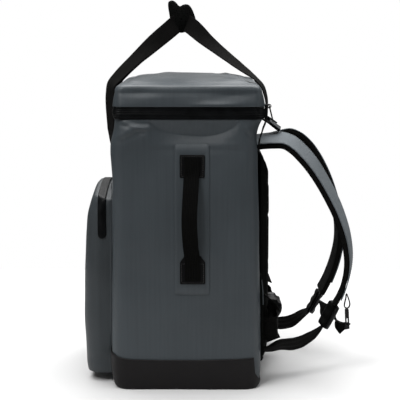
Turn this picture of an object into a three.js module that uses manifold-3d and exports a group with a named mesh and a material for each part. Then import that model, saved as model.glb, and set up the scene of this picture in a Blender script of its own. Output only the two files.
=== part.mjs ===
// A soft-sided cooler backpack with a black boot, a zipped lid and a front pocket.
// Millimetres. X is the width (the wearer's right is +X), the front is -Y, Z is up.
// The origin is the middle of the flat foot, so the pack stands on Z = 0.
import * as THREE from 'three';
import { mergeVertices } from 'three/addons/utils/BufferGeometryUtils.js';
import Module from 'manifold-3d';

const wasm = await Module();
wasm.setup();

// Clearances
const GAP = 0.3;
const PIVOT_GAP = 0.35;

// Body, boot, zip and lid
const HALF_WIDTH = 160;
const HALF_DEPTH = 120;
const BODY_TOP = 447;
const BODY_WALL = 20;
const BODY_CORNER = 22;
const SIDE_BULGE = 3;
const BOOT_WALL = 2.6;
const BOOT_FLOOR = 3;
const BOOT_TOP = 62;
const ZIP_HEIGHT = 19.4;
const ZIP_DEPTH = 11;
const LID_TOP = 501;
const LID_CROWN = 13;
const LID_WALL = 14;
const LID_CORNER = 14;

// Pocket
const POCKET_HALF_WIDTH = 120;
const POCKET_DEPTH = 52;
const POCKET_BOTTOM = 15;
const POCKET_TOP = 328;
const POCKET_ARCH = 17;
const POCKET_CORNER = 30;
const POCKET_WALL = 3;
const POCKET_TAPE_FROM = 28;
const POCKET_TAPE_WIDTH = 14;
const POCKET_TAPE_END = 246;

// Webbing, patches and pads
const WEB = 28;
const WEB_THICK = 2;
const HANDLE_WEB = 25;
const PATCH_THICK = 1.2;
const PATCH_BLACK_THICK = 1.8;
const STRAP_WIDTH = 66;
const STRAP_THICK = 8.5;
const STRAP_FACE_THICK = 1.6;
const STRAP_ROOT_X = 76;
const STRAP_END_X = 86;
const BELT_WEB = 38;
const PAD_HALF_WIDTH = HALF_WIDTH - 44;
const PAD_BOTTOM = 25;
const PAD_TOP = 384;
const PAD_THICK = 13.5;
const WING_DEPTH = 7;
const WING_WIDTH = 13;
const BUCKLE_HALF = 30;
const BACK = HALF_DEPTH;

// Levels of the body: up is a share of BODY_TOP, front and back are shares of HALF_DEPTH.
const BODY_LEVELS = [
  { up: 0.000, front: 0.960, back: 0.965 },
  { up: 0.007, front: 0.985, back: 0.990 },
  { up: 0.020, front: 1.005, back: 1.005 },
  { up: 0.040, front: 1.018, back: 1.012 },
  { up: 0.075, front: 1.030, back: 1.018 },
  { up: 0.140, front: 1.036, back: 1.018 },
  { up: 0.340, front: 1.030, back: 1.005 },
  { up: 0.540, front: 1.020, back: 0.990 },
  { up: 0.700, front: 1.013, back: 0.975 },
  { up: 0.776, front: 1.010, back: 0.968 },
  { up: 0.832, front: 1.022, back: 0.962 },
  { up: 0.887, front: 1.030, back: 0.955 },
  { up: 0.914, front: 1.022, back: 0.945 },
  { up: 0.932, front: 1.005, back: 0.938 },
  { up: 0.952, front: 0.985, back: 0.948 },
  { up: 0.976, front: 0.970, back: 0.975 },
  { up: 1.000, front: 0.962, back: 1.020 },
];

// Levels of the zip band: up is a share of ZIP_HEIGHT, the rest as for the body.
const ZIP_LEVELS = [
  { up: 0.0, front: 0.972, back: 1.034 },
  { up: 0.5, front: 0.990, back: 1.046 },
  { up: 1.0, front: 0.978, back: 1.036 },
];

// Levels of the lid: up is a share of its height, inset draws the corner of the top in.
const LID_LEVELS = [
  { up: 0.00, front: 0.975, back: 1.035, inset: 0 },
  { up: 0.30, front: 0.972, back: 1.030, inset: 0 },
  { up: 0.68, front: 0.968, back: 1.018, inset: 0 },
  { up: 0.88, front: 0.965, back: 1.010, inset: 0.6 },
  { up: 0.97, front: 0.962, back: 1.006, inset: 2.4 },
  { up: 1.00, front: 0.962, back: 1.004, inset: 6 },
];

// Levels of the pocket: up is a share of its height, out a share of POCKET_DEPTH.
const POCKET_LEVELS = [
  { up: 0.000, out: 0.955 },
  { up: 0.012, out: 0.970 },
  { up: 0.104, out: 1.005 },
  { up: 0.223, out: 1.030 },
  { up: 0.387, out: 1.040 },
  { up: 0.577, out: 1.015 },
  { up: 0.795, out: 0.955 },
  { up: 0.905, out: 0.880 },
  { up: 0.958, out: 0.790 },
  { up: 0.990, out: 0.700 },
  { up: 1.000, out: 0.640 },
];

// Row of the table at a share, blended between its neighbours.
function rowAt(table, up) {
  const last = table.length - 1;
  let index = 0;
  while (index < last - 1 && table[index + 1].up < up) index += 1;
  const low = table[index];
  const high = table[index + 1];
  const share = THREE.MathUtils.clamp((up - low.up) / (high.up - low.up), 0, 1);
  const row = {};
  for (const key of Object.keys(low)) row[key] = THREE.MathUtils.lerp(low[key], high[key], share);
  return row;
}

// Shares between two limits: the table's own, with the limits added.
function sharesBetween(table, from, to) {
  const inside = table.map((row) => row.up).filter((up) => up > from + 1e-6 && up < to - 1e-6);
  return [from, ...inside, to];
}

// Closed ring round a rounded rectangle, the same number of points for every size.
function rectangleRing(box, z, relief) {
  const sideSteps = 8;
  const endSteps = 4;
  const cornerSteps = 3;
  const points = [];
  const corner = (cx, cy, radius, start) => {
    for (let step = 0; step <= cornerSteps; step += 1) {
      const angle = start + (step / cornerSteps) * Math.PI / 2;
      points.push(new THREE.Vector3(cx + radius * Math.cos(angle), cy + radius * Math.sin(angle), z));
    }
  };
  const run = (steps) => {
    const from = points[points.length - 1].clone();
    return (to) => {
      for (let step = 1; step < steps; step += 1) {
        points.push(from.clone().lerp(to, step / steps));
      }
    };
  };
  const { half, front, back, frontCorner, backCorner } = box;
  corner(half - backCorner, back - backCorner, backCorner, 0);
  run(endSteps)(new THREE.Vector3(-half + backCorner, back, z));
  corner(-half + backCorner, back - backCorner, backCorner, Math.PI / 2);
  run(sideSteps)(new THREE.Vector3(-half, front + frontCorner, z));
  corner(-half + frontCorner, front + frontCorner, frontCorner, Math.PI);
  run(endSteps)(new THREE.Vector3(half - frontCorner, front, z));
  corner(half - frontCorner, front + frontCorner, frontCorner, Math.PI * 1.5);
  run(sideSteps)(new THREE.Vector3(half, back - backCorner, z));
  if (relief) points.forEach((point) => relief(point));
  return points;
}

// Closed solid through a row of rings, its ends closed by fans. A crest sets the last fan's height.
function loft(rings, crest) {
  const count = rings[0].length;
  const positions = [];
  rings.forEach((ring) => ring.forEach((point) => positions.push(point.x, point.y, point.z)));
  const faces = [];
  for (let row = 0; row < rings.length - 1; row += 1) {
    for (let column = 0; column < count; column += 1) {
      const next = (column + 1) % count;
      const a = row * count + column;
      const b = row * count + next;
      faces.push(a, b, b + count, a, b + count, a + count);
    }
  }
  const cap = (ring, offset, flip) => {
    const middle = ring.reduce((sum, point) => sum.add(point), new THREE.Vector3());
    middle.divideScalar(count);
    if (!flip && crest !== undefined) middle.setZ(crest);
    const hub = positions.length / 3;
    positions.push(middle.x, middle.y, middle.z);
    for (let column = 0; column < count; column += 1) {
      const next = (column + 1) % count;
      if (flip) faces.push(hub, offset + next, offset + column);
      else faces.push(hub, offset + column, offset + next);
    }
  };
  cap(rings[0], 0, true);
  cap(rings[rings.length - 1], (rings.length - 1) * count, false);
  return solidFrom(positions, faces);
}

// Solid from plain lists, turned inside out if its faces point inwards.
function solidFrom(positions, faces) {
  const corner = (index) => new THREE.Vector3().fromArray(positions, index * 3);
  let volume = 0;
  for (let index = 0; index < faces.length; index += 3) {
    const a = corner(faces[index]);
    const b = corner(faces[index + 1]);
    const c = corner(faces[index + 2]);
    volume += a.dot(b.cross(c));
  }
  const order = volume > 0 ? faces : faces.slice().reverse();
  return new wasm.Manifold(new wasm.Mesh({
    numProp: 3,
    vertProperties: new Float32Array(positions),
    triVerts: new Uint32Array(order),
  }));
}

// Solid from a three.js geometry.
function solidOf(geometry) {
  const bare = new THREE.BufferGeometry();
  bare.setAttribute('position', geometry.getAttribute('position'));
  if (geometry.index) bare.setIndex(geometry.index);
  const merged = mergeVertices(bare, 1e-4);
  return solidFrom(Array.from(merged.getAttribute('position').array), Array.from(merged.index.array));
}

// Plate with a side outline of [Y, Z] points, standing between two values of X.
function sidePlate(outline, fromX, toX) {
  const shape = new THREE.Shape(outline.map(([y, z]) => new THREE.Vector2(y, z)));
  const geometry = new THREE.ExtrudeGeometry(shape, { depth: toX - fromX, bevelEnabled: false });
  geometry.applyMatrix4(new THREE.Matrix4().set(0, 0, 1, fromX, 1, 0, 0, 0, 0, 1, 0, 0, 0, 0, 0, 1));
  return solidOf(geometry);
}

// Box between two opposite corners.
function block(low, high) {
  const geometry = new THREE.BoxGeometry(high[0] - low[0], high[1] - low[1], high[2] - low[2]);
  geometry.translate((low[0] + high[0]) / 2, (low[1] + high[1]) / 2, (low[2] + high[2]) / 2);
  return solidOf(geometry);
}

// Smooth closed outline through a few [Y, Z] points.
function smoothOutline(points, count) {
  const vectors = points.map(([y, z]) => new THREE.Vector3(y, z, 0));
  const curve = new THREE.CatmullRomCurve3(vectors, true, 'centripetal');
  return curve.getPoints(count).slice(0, count).map((point) => [point.x, point.y]);
}

// Side of the body under the zip: a lens-shaped dent and a slight bulge below it.
function bodyRelief(point) {
  const side = Math.sign(point.x);
  const onSide = THREE.MathUtils.smoothstep(Math.abs(point.x), HALF_WIDTH - BODY_CORNER, HALF_WIDTH);
  const along = (point.y - 16) / 80;
  const up = (point.z - 425) / 15;
  const lens = Math.max(0, 1 - along * along - up * up);
  const bulge = SIDE_BULGE * Math.sin(Math.PI * THREE.MathUtils.clamp(point.z / BODY_TOP, 0, 1));
  point.x += side * onSide * (bulge - 6 * lens);
}

// Body form grown by a distance, between two heights.
function bodyForm(grow, from, to) {
  const rings = sharesBetween(BODY_LEVELS, from / BODY_TOP, to / BODY_TOP).map((up) => {
    const row = rowAt(BODY_LEVELS, up);
    const box = {
      half: HALF_WIDTH + grow,
      front: -row.front * HALF_DEPTH - grow,
      back: row.back * HALF_DEPTH + grow,
      frontCorner: BODY_CORNER + grow,
      backCorner: BODY_CORNER + grow,
    };
    return rectangleRing(box, up * BODY_TOP, bodyRelief);
  });
  return loft(rings);
}

// X of the body's side face at a height.
function bodySideX(z) {
  return HALF_WIDTH + SIDE_BULGE * Math.sin(Math.PI * z / BODY_TOP);
}

// Zip band form grown by a distance.
function zipForm(grow, rise) {
  const rings = ZIP_LEVELS.map((row) => rectangleRing({
    half: HALF_WIDTH + grow + 1,
    front: -row.front * HALF_DEPTH - grow,
    back: row.back * HALF_DEPTH + grow,
    frontCorner: LID_CORNER + grow,
    backCorner: LID_CORNER + grow,
  }, BODY_TOP + GAP + row.up * ZIP_HEIGHT + rise * (row.up * 2 - 1)));
  return loft(rings);
}

// Lid form grown by a distance, with a low crown on its top.
function lidForm(grow, bottom, top, crown) {
  const rings = LID_LEVELS.map((row) => rectangleRing({
    half: HALF_WIDTH - row.inset + grow,
    front: -row.front * HALF_DEPTH + row.inset - grow,
    back: row.back * HALF_DEPTH - row.inset + grow,
    frontCorner: Math.max(LID_CORNER + grow, 3),
    backCorner: Math.max(LID_CORNER + grow, 3),
  }, THREE.MathUtils.lerp(bottom, top, row.up)));
  const rim = rings[rings.length - 1];
  const middle = new THREE.Vector3(0, 4, top);
  for (const share of [0.15, 0.4, 0.7]) {
    const height = crown * (1 - (1 - share) ** 2.5);
    rings.push(rim.map((point) => point.clone().lerp(middle, share).setZ(top + height)));
  }
  return loft(rings);
}

// Pocket form grown by a distance. Its top is arched: highest in the middle of the width.
function pocketForm(grow, backY) {
  const height = POCKET_TOP - POCKET_BOTTOM;
  const rings = POCKET_LEVELS.map((row) => {
    const arch = POCKET_ARCH * THREE.MathUtils.smoothstep(row.up, 0.6, 1);
    return rectangleRing({
      half: POCKET_HALF_WIDTH + grow - 4 * (1 - row.out),
      front: -HALF_DEPTH - row.out * POCKET_DEPTH - grow,
      back: backY,
      frontCorner: POCKET_CORNER + grow,
      backCorner: 2,
    }, POCKET_BOTTOM + row.up * height + grow * (row.up * 2 - 1), (point) => {
      point.z -= arch * Math.abs(point.x / POCKET_HALF_WIDTH) ** 1.2;
    });
  });
  return loft(rings, POCKET_TOP + grow);
}

// Rounded strap section: [across, through] points.
function strapSection(width, thickness, rounding) {
  const half = width / 2;
  const deep = thickness / 2;
  const round = Math.min(rounding, deep * 0.98, half * 0.98);
  if (round <= 0) return [[-half, -deep], [half, -deep], [half, deep], [-half, deep]];
  return [
    [-half + round, -deep], [half - round, -deep], [half, -deep + round], [half, deep - round],
    [half - round, deep], [-half + round, deep], [-half, deep - round], [-half, -deep + round],
  ];
}

// Band of webbing or padding: a section swept through stations of place and across direction.
function band(stations, section, steps, last = steps) {
  const places = stations.map((station) => new THREE.Vector3(...station.at));
  const curve = new THREE.CatmullRomCurve3(places, false, 'centripetal');
  const rings = [];
  for (let step = 0; step <= last; step += 1) {
    const share = step / steps;
    const place = curve.getPoint(share);
    const tangent = curve.getTangent(share).normalize();
    const position = share * (stations.length - 1);
    const low = Math.min(Math.floor(position), stations.length - 2);
    const across = new THREE.Vector3(...stations[low].across);
    across.lerp(new THREE.Vector3(...stations[low + 1].across), position - low);
    across.addScaledVector(tangent, -across.dot(tangent)).normalize();
    const through = new THREE.Vector3().crossVectors(tangent, across);
    rings.push(section.map(([a, t]) => place.clone().addScaledVector(across, a)
      .addScaledVector(through, t)));
  }
  return loft(rings);
}

// The same solid on the other side of the pack.
function mirrored(solid) {
  return solid.mirror([1, 0, 0]);
}

// Materials
const COATED = { color: 0x42484b, roughness: 0.55, metalness: 0 };
const STRAP_GREY = { color: 0x676e72, roughness: 0.7, metalness: 0 };
const RUBBER = { color: 0x1c1a1b, roughness: 0.6, metalness: 0 };
const ZIP_BLACK = { color: 0x111317, roughness: 0.45, metalness: 0 };
const WEBBING = { color: 0x0f0e0d, roughness: 0.8, metalness: 0 };
const FOAM = { color: 0x121312, roughness: 0.85, metalness: 0 };
const HARD_BLACK = { color: 0x0c0c0d, roughness: 0.4, metalness: 0 };

const group = new THREE.Group();

// Adds a solid to the group as one named mesh.
function add(name, solid, look) {
  const mesh = solid.getMesh();
  const geometry = new THREE.BufferGeometry();
  geometry.setAttribute('position', new THREE.Float32BufferAttribute(mesh.vertProperties, 3));
  geometry.setIndex(Array.from(mesh.triVerts));
  geometry.computeVertexNormals();
  const node = new THREE.Mesh(geometry, new THREE.MeshStandardMaterial(look));
  node.name = name;
  group.add(node);
}

// Body: an insulated tub, open at the top
const bodyInside = bodyForm(-BODY_WALL, BOOT_FLOOR + BODY_WALL, BODY_TOP)
  .add(bodyForm(-BODY_WALL, BODY_TOP - 4, BODY_TOP).translate([0, 0, 2]));
const body = bodyForm(0, BOOT_FLOOR + GAP, BODY_TOP).subtract(bodyInside);
add('body', body, COATED);

// Boot: wraps the foot at the front and the sides, with a slanting end before the back
const bootCut = sidePlate([
  [-BACK - 40, BOOT_TOP], [-BACK - 3, BOOT_TOP], [-BACK + 10, BOOT_TOP - 6.5],
  [-BACK + 31, BOOT_TOP - 10.5], [-BACK + 80, BOOT_TOP - 11.6], [BACK - 98, BOOT_TOP - 11.7],
  [BACK - 40, BOOT_TOP - 10], [BACK - 12, BOOT_TOP - 8.2], [BACK - 11, 29], [BACK, 10],
  [BACK + 1, BOOT_FLOOR], [BACK + 80, BOOT_FLOOR], [BACK + 80, 200], [-BACK - 40, 200],
], -200, 200);
const boot = bodyForm(BOOT_WALL, 0, BOOT_TOP + 5)
  .subtract(bodyForm(GAP, BOOT_FLOOR, BOOT_TOP + 8))
  .subtract(bootCut);
add('base_boot', boot, RUBBER);

// Zip band: a ring between the body and the lid
const zipBand = zipForm(0, 0).subtract(zipForm(-ZIP_DEPTH, 2));
add('zip_band', zipBand, ZIP_BLACK);

// Lid: a padded cap
const LID_BOTTOM = BODY_TOP + 2 * GAP + ZIP_HEIGHT;
const lid = lidForm(0, LID_BOTTOM, LID_TOP, LID_CROWN)
  .subtract(lidForm(-LID_WALL, LID_BOTTOM - 2, LID_TOP - LID_WALL, LID_CROWN));
add('lid', lid, COATED);

// Zip slider: a plate on the back of the band with a bridge that holds the pull
const SLIDER_X = HALF_WIDTH * 0.875;
const SLIDER_BACK = 1.046 * HALF_DEPTH + GAP;
const PIVOT_Y = SLIDER_BACK + 7.4;
const PIVOT_Z = BODY_TOP + 20;
const PULL_THICK = 2;
const PULL_BAR = 2.4;
const PIVOT_RADIUS = Math.hypot(PULL_THICK, PULL_BAR) / 2 + PIVOT_GAP;
const LUG_HALF = 2.2;
const lugOutline = [];
for (let step = 0; step < 16; step += 1) {
  const angle = (step / 16) * Math.PI * 2;
  lugOutline.push([PIVOT_Y + 3.4 * Math.cos(angle), PIVOT_Z + 3.4 * Math.sin(angle)]);
}
const boreOutline = [];
for (let step = 0; step < 16; step += 1) {
  const angle = ((step + 0.5) / 16) * Math.PI * 2;
  const radius = PIVOT_RADIUS / Math.cos(Math.PI / 16);
  boreOutline.push([PIVOT_Y + radius * Math.cos(angle), PIVOT_Z + radius * Math.sin(angle)]);
}
const sliderPlate = sidePlate([
  [SLIDER_BACK, PIVOT_Z - 21], [SLIDER_BACK + 3, PIVOT_Z - 21], [SLIDER_BACK + 4, PIVOT_Z - 18],
  [SLIDER_BACK + 4, PIVOT_Z + 3], [SLIDER_BACK, PIVOT_Z + 3],
], SLIDER_X - 5.5, SLIDER_X + 5.5);
const slider = sliderPlate
  .add(sidePlate(lugOutline, SLIDER_X - LUG_HALF, SLIDER_X + LUG_HALF))
  .add(block(
    [SLIDER_X - LUG_HALF, SLIDER_BACK + 3, PIVOT_Z - 3.4],
    [SLIDER_X + LUG_HALF, PIVOT_Y, PIVOT_Z + 3.4],
  ))
  .subtract(sidePlate(boreOutline, SLIDER_X - 6, SLIDER_X + 6));
add('zip_slider', slider, HARD_BLACK);

// Zip pull: a flat ring whose top bar turns in the bridge
const PULL_LENGTH = 26;
const PULL_HALF = 5.2;
const PULL_INNER_HALF = LUG_HALF + 1.1;
const PULL_LEAN = 14;
const pullShape = new THREE.Shape([
  new THREE.Vector2(-PULL_HALF + 1, PULL_BAR / 2), new THREE.Vector2(-PULL_HALF, PULL_BAR / 2 - 1),
  new THREE.Vector2(-PULL_HALF + 0.7, -PULL_LENGTH + 4), new THREE.Vector2(-2.4, -PULL_LENGTH),
  new THREE.Vector2(2.4, -PULL_LENGTH), new THREE.Vector2(PULL_HALF - 0.7, -PULL_LENGTH + 4),
  new THREE.Vector2(PULL_HALF, PULL_BAR / 2 - 1), new THREE.Vector2(PULL_HALF - 1, PULL_BAR / 2),
]);
pullShape.holes.push(new THREE.Path([
  new THREE.Vector2(-PULL_INNER_HALF, -PULL_BAR / 2),
  new THREE.Vector2(PULL_INNER_HALF, -PULL_BAR / 2),
  new THREE.Vector2(PULL_INNER_HALF - 0.6, -PULL_LENGTH + 6),
  new THREE.Vector2(-PULL_INNER_HALF + 0.6, -PULL_LENGTH + 6),
]));
const pullGeometry = new THREE.ExtrudeGeometry(pullShape, { depth: PULL_THICK, bevelEnabled: false });
pullGeometry.translate(0, 0, -PULL_THICK / 2);
pullGeometry.rotateX(THREE.MathUtils.degToRad(90 + PULL_LEAN));
pullGeometry.translate(SLIDER_X, PIVOT_Y, PIVOT_Z);
add('zip_pull', solidOf(pullGeometry), HARD_BLACK);

// Pocket: a shell, open towards the body
const bodyAndBoot = bodyForm(GAP, 0, BODY_TOP).add(bodyForm(BOOT_WALL + GAP, 0, BOOT_TOP + GAP));
const pocketInside = pocketForm(-POCKET_WALL, -HALF_DEPTH + 40);
const pocket = pocketForm(0, -HALF_DEPTH + 20).subtract(pocketInside).subtract(bodyAndBoot);
add('pocket', pocket, COATED);

// Pocket zip: a tape over the pocket's top, down to a rounded end on each side
const tapeFront = -HALF_DEPTH - POCKET_TAPE_FROM;
const tapeBack = tapeFront + POCKET_TAPE_WIDTH;
const tapeMiddle = (tapeFront + tapeBack) / 2;
const tapeRound = POCKET_TAPE_WIDTH / 2;
const tapeOutline = [[tapeFront, POCKET_TOP + 20]];
for (let step = 0; step <= 8; step += 1) {
  const angle = Math.PI + (step / 8) * Math.PI;
  tapeOutline.push([
    tapeMiddle + tapeRound * Math.cos(angle),
    POCKET_TAPE_END + tapeRound + tapeRound * Math.sin(angle),
  ]);
}
tapeOutline.push([tapeBack, POCKET_TOP + 20]);
const pocketZip = pocketForm(GAP + 1, -HALF_DEPTH + 20)
  .subtract(pocketForm(GAP, -HALF_DEPTH + 30))
  .intersect(sidePlate(tapeOutline, -200, 200));
add('pocket_zip', pocketZip, ZIP_BLACK);

// Pocket slider: closed, on the hidden side
const pocketSliderX = -POCKET_HALF_WIDTH - 1.5;
add('pocket_slider', sidePlate([
  [tapeMiddle - 3.5, POCKET_TAPE_END + 14], [tapeMiddle + 3.5, POCKET_TAPE_END + 14],
  [tapeMiddle + 4.5, POCKET_TAPE_END + 20], [tapeMiddle + 4.5, POCKET_TAPE_END + 28],
  [tapeMiddle - 4.5, POCKET_TAPE_END + 28], [tapeMiddle - 4.5, POCKET_TAPE_END + 20],
], pocketSliderX - 4, pocketSliderX), HARD_BLACK);

// Back pad: thick padding on the back, its edges rounded
const padRings = [[0, 0], [0.55, 0], [0.85, 3], [1, 9]].map(([share, inset]) => {
  const y = HALF_DEPTH - 8 + share * (PAD_THICK + 8);
  const ring = rectangleRing({
    half: PAD_HALF_WIDTH - inset,
    front: PAD_BOTTOM + inset,
    back: PAD_TOP - inset,
    frontCorner: 26 - inset,
    backCorner: 40 - inset,
  }, 0);
  return ring.map((point) => new THREE.Vector3(point.x, y, point.y));
});
const backPad = loft(padRings).subtract(bodyAndBoot);
add('back_pad', backPad, FOAM);

// Side handle: a welded patch, two black patches and a bowed strip of webbing
const HANDLE_Y = 8;
const handleTop = 390.5;
const handleLow = 179;
const patchOutline = [
  [HANDLE_Y - 27, handleLow - 15], [HANDLE_Y - 23, handleLow - 18],
  [HANDLE_Y + 25, handleLow - 18], [HANDLE_Y + 29, handleLow - 15],
  [HANDLE_Y + 29, handleTop + 13], [HANDLE_Y + 25, handleTop + 17],
  [HANDLE_Y - 23, handleTop + 17], [HANDLE_Y - 27, handleTop + 13],
];
const topOutline = [
  [HANDLE_Y - 18, handleTop - 37], [HANDLE_Y + 20, handleTop - 37], [HANDLE_Y + 21, handleTop - 36],
  [HANDLE_Y + 21, handleTop - 1], [HANDLE_Y + 20, handleTop], [HANDLE_Y - 18, handleTop],
  [HANDLE_Y - 19, handleTop - 1], [HANDLE_Y - 19, handleTop - 36],
];
const lowOutline = [
  [HANDLE_Y - 18, handleLow], [HANDLE_Y + 21, handleLow], [HANDLE_Y + 22, handleLow + 1],
  [HANDLE_Y + 22, handleLow + 36], [HANDLE_Y + 15, handleLow + 47],
  [HANDLE_Y - 12, handleLow + 47], [HANDLE_Y - 19, handleLow + 36], [HANDLE_Y - 19, handleLow + 1],
];
const skin = (inner, thickness, outline) => bodyForm(inner + thickness, 100, 430)
  .subtract(bodyForm(inner, 90, 435))
  .intersect(sidePlate(outline, HALF_WIDTH - 20, HALF_WIDTH + 40));
const blackInner = GAP + PATCH_THICK + GAP;
const sidePatch = skin(GAP, PATCH_THICK, patchOutline);
const patchTop = skin(blackInner, PATCH_BLACK_THICK, topOutline);
const patchLow = skin(blackInner, PATCH_BLACK_THICK, lowOutline);
const handleLift = blackInner + PATCH_BLACK_THICK + GAP + WEB_THICK / 2 + 0.2;
const handleStation = (z, y, out) => ({
  at: [bodySideX(z) + handleLift + out, y, z],
  across: [0, 1, 0],
});
const sideHandle = band([
  handleStation(handleTop - 4, HANDLE_Y + 1, 0),
  handleStation(handleTop - 18, HANDLE_Y + 1, 0),
  handleStation(handleTop - 34, HANDLE_Y, 1),
  handleStation(handleTop - 60, HANDLE_Y - 1.5, 12),
  handleStation((handleTop + handleLow) / 2 + 3, HANDLE_Y - 3.5, 19),
  handleStation(handleLow + 66, HANDLE_Y - 1.5, 13),
  handleStation(handleLow + 42, HANDLE_Y + 1, 1.5),
  handleStation(handleLow + 22, HANDLE_Y + 1.5, 0),
  handleStation(handleLow + 6, HANDLE_Y + 1.5, 0),
], strapSection(HANDLE_WEB, WEB_THICK, 0), 22);
for (const [side, turn] of [['right', (solid) => solid], ['left', mirrored]]) {
  add(`side_patch_${side}`, turn(sidePatch), COATED);
  add(`side_patch_top_${side}`, turn(patchTop), RUBBER);
  add(`side_patch_low_${side}`, turn(patchLow), RUBBER);
  add(`side_handle_${side}`, turn(sideHandle), WEBBING);
}

// Carry handles: twist turns the webbing from flat on the pack to upright in the grip,
// lean is the angle of the run seen from the side
const GRIP_HALF = 55;
const HANDLE_STEPS = 48;
const FRONT_LEG = [
  { x: 74, y: -127.2, z: 396, twist: 5, lean: 90 },
  { x: 74, y: -127.6, z: 410, twist: 14, lean: 90 },
  { x: 74, y: -127.7, z: 424, twist: 27, lean: 90 },
  { x: 73, y: -128.5, z: 458, twist: 33, lean: 90 },
  { x: 72, y: -128.6, z: 482, twist: 33, lean: 88 },
  { x: 72, y: -126.2, z: 498, twist: 34, lean: 65 },
  { x: 71, y: -114.5, z: 512, twist: 37, lean: 48 },
  { x: 68, y: -88.5, z: 537.5, twist: 44, lean: 43 },
  { x: 65, y: -68.5, z: 555.5, twist: 58, lean: 43 },
  { x: 62, y: -50, z: 571.5, twist: 74, lean: 43 },
  { x: 59, y: -29, z: 589, twist: 86, lean: 43 },
  { x: 51, y: -16.5, z: 600, twist: 90, lean: 14 },
  { x: 36, y: -15, z: 602.5, twist: 90, lean: 12 },
];
const BACK_LEG = [
  { x: 131, y: 116.8, z: 396, twist: 2, lean: 90 },
  { x: 129, y: 118.2, z: 410, twist: 4, lean: 90 },
  { x: 124, y: 123.5, z: 427, twist: 6, lean: 90 },
  { x: 116, y: 129.4, z: 443, twist: 6, lean: 90 },
  { x: 106, y: 131, z: 463, twist: 6, lean: 90 },
  { x: 99, y: 129.5, z: 480, twist: 5, lean: 84 },
  { x: 95, y: 124.5, z: 496, twist: 6, lean: 66 },
  { x: 91, y: 114, z: 508, twist: 10, lean: 50 },
  { x: 86, y: 91, z: 525.5, twist: 22, lean: 40 },
  { x: 79, y: 72, z: 540, twist: 28, lean: 40 },
  { x: 73, y: 50, z: 557, twist: 40, lean: 41 },
  { x: 69, y: 31.5, z: 572, twist: 53, lean: 42 },
  { x: 62, y: 9.5, z: 592, twist: 80, lean: 44 },
  { x: 51, y: -1.5, z: 600, twist: 90, lean: 14 },
  { x: 36, y: -3, z: 602.5, twist: 90, lean: 12 },
];

// Stations of a whole handle: up one leg, through the grip and down the other. The rows are those
// of a pack 320 wide and 240 deep, and are scaled with the pack's own width and depth.
function handleStations(leg, face) {
  const station = (row, side) => {
    const turn = THREE.MathUtils.degToRad(row.twist);
    const lean = THREE.MathUtils.degToRad(row.lean);
    return {
      at: [
        side * row.x * HALF_WIDTH / 160,
        row.y * HALF_DEPTH / 120,
        row.z,
      ],
      across: [
        side * Math.cos(turn),
        -Math.sin(turn) * face * Math.sin(lean),
        -Math.sin(turn) * Math.cos(lean),
      ],
    };
  };
  const right = leg.map((row) => station(row, 1));
  const left = leg.map((row) => station(row, -1)).reverse();
  return [...right, ...left];
}
const webSection = strapSection(WEB, WEB_THICK, 0);
add('carry_handle_front', band(handleStations(FRONT_LEG, -1), webSection, HANDLE_STEPS), WEBBING);
add('carry_handle_back', band(handleStations(BACK_LEG, 1), webSection, HANDLE_STEPS), WEBBING);

// Grip: a padded wrap with two ears, folded tight round both runs of webbing
const gripOutline = smoothOutline([
  [-32, 628.9], [-31, 634.5], [-25, 636.8], [-20, 634.6], [-15, 629], [-11.7, 627.2],
  [-6.7, 629.7], [-1.7, 630.5], [3.3, 628.9], [8.3, 622.3], [11.6, 614.1], [13.8, 605.9],
  [11.6, 599], [4.9, 592], [-1.8, 585.5], [-8.4, 583.2], [-15.1, 584], [-22.5, 588], [-27, 598],
  [-30, 614],
], 36);
const webSpace = strapSection(WEB + 3 * GAP, WEB_THICK + 3 * GAP, 0);
add('handle_grip', sidePlate(gripOutline, -GRIP_HALF, GRIP_HALF)
  .subtract(band(handleStations(FRONT_LEG, -1), webSpace, HANDLE_STEPS))
  .subtract(band(handleStations(BACK_LEG, 1), webSpace, HANDLE_STEPS)), FOAM);

// Shoulder straps: out is the distance behind the back, up the height and tilt the outward turn
// of the pad's middle line
const RIGHT_STRAP = [
  { out: -8, up: 400.5, tilt: 9 },
  { out: 5.5, up: 402.5, tilt: 9 },
  { out: 22.2, up: 404, tilt: 10 },
  { out: 40.6, up: 404.1, tilt: 12 },
  { out: 56, up: 397.3, tilt: 15 },
  { out: 72.6, up: 382.4, tilt: 16 },
  { out: 89.6, up: 362.2, tilt: 16 },
  { out: 105, up: 338.6, tilt: 15 },
  { out: 120.6, up: 310.6, tilt: 14.5 },
  { out: 134.5, up: 280.9, tilt: 13.5 },
  { out: 147, up: 243.2, tilt: 12.5 },
  { out: 152.4, up: 208.8, tilt: 11.5 },
  { out: 151.4, up: 184.7, tilt: 11 },
  { out: 145.9, up: 158.8, tilt: 11 },
  { out: 137.7, up: 138, tilt: 11 },
  { out: 131.9, up: 127.7, tilt: 11 },
];
const LEFT_STRAP = [
  { out: -8, up: 393, tilt: 6 },
  { out: 14.1, up: 395, tilt: 6 },
  { out: 28.6, up: 397.3, tilt: 6 },
  { out: 41.3, up: 400.3, tilt: 6 },
  { out: 52.1, up: 402.6, tilt: 7 },
  { out: 63, up: 403.5, tilt: 8 },
  { out: 79, up: 396.6, tilt: 8 },
  { out: 95.2, up: 382.6, tilt: 7 },
  { out: 107.3, up: 367, tilt: 6 },
  { out: 116.7, up: 352.3, tilt: 5 },
  { out: 130, up: 325.6, tilt: 4 },
  { out: 141.7, up: 294.1, tilt: 3 },
  { out: 150.6, up: 262.4, tilt: 1 },
  { out: 155.8, up: 232.4, tilt: 0 },
  { out: 156.4, up: 204.2, tilt: 0 },
  { out: 153.2, up: 181.5, tilt: 0 },
  { out: 145.5, up: 153, tilt: 0 },
  { out: 135.8, up: 128.2, tilt: 0 },
  { out: 126, up: 109, tilt: 0 },
];

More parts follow.
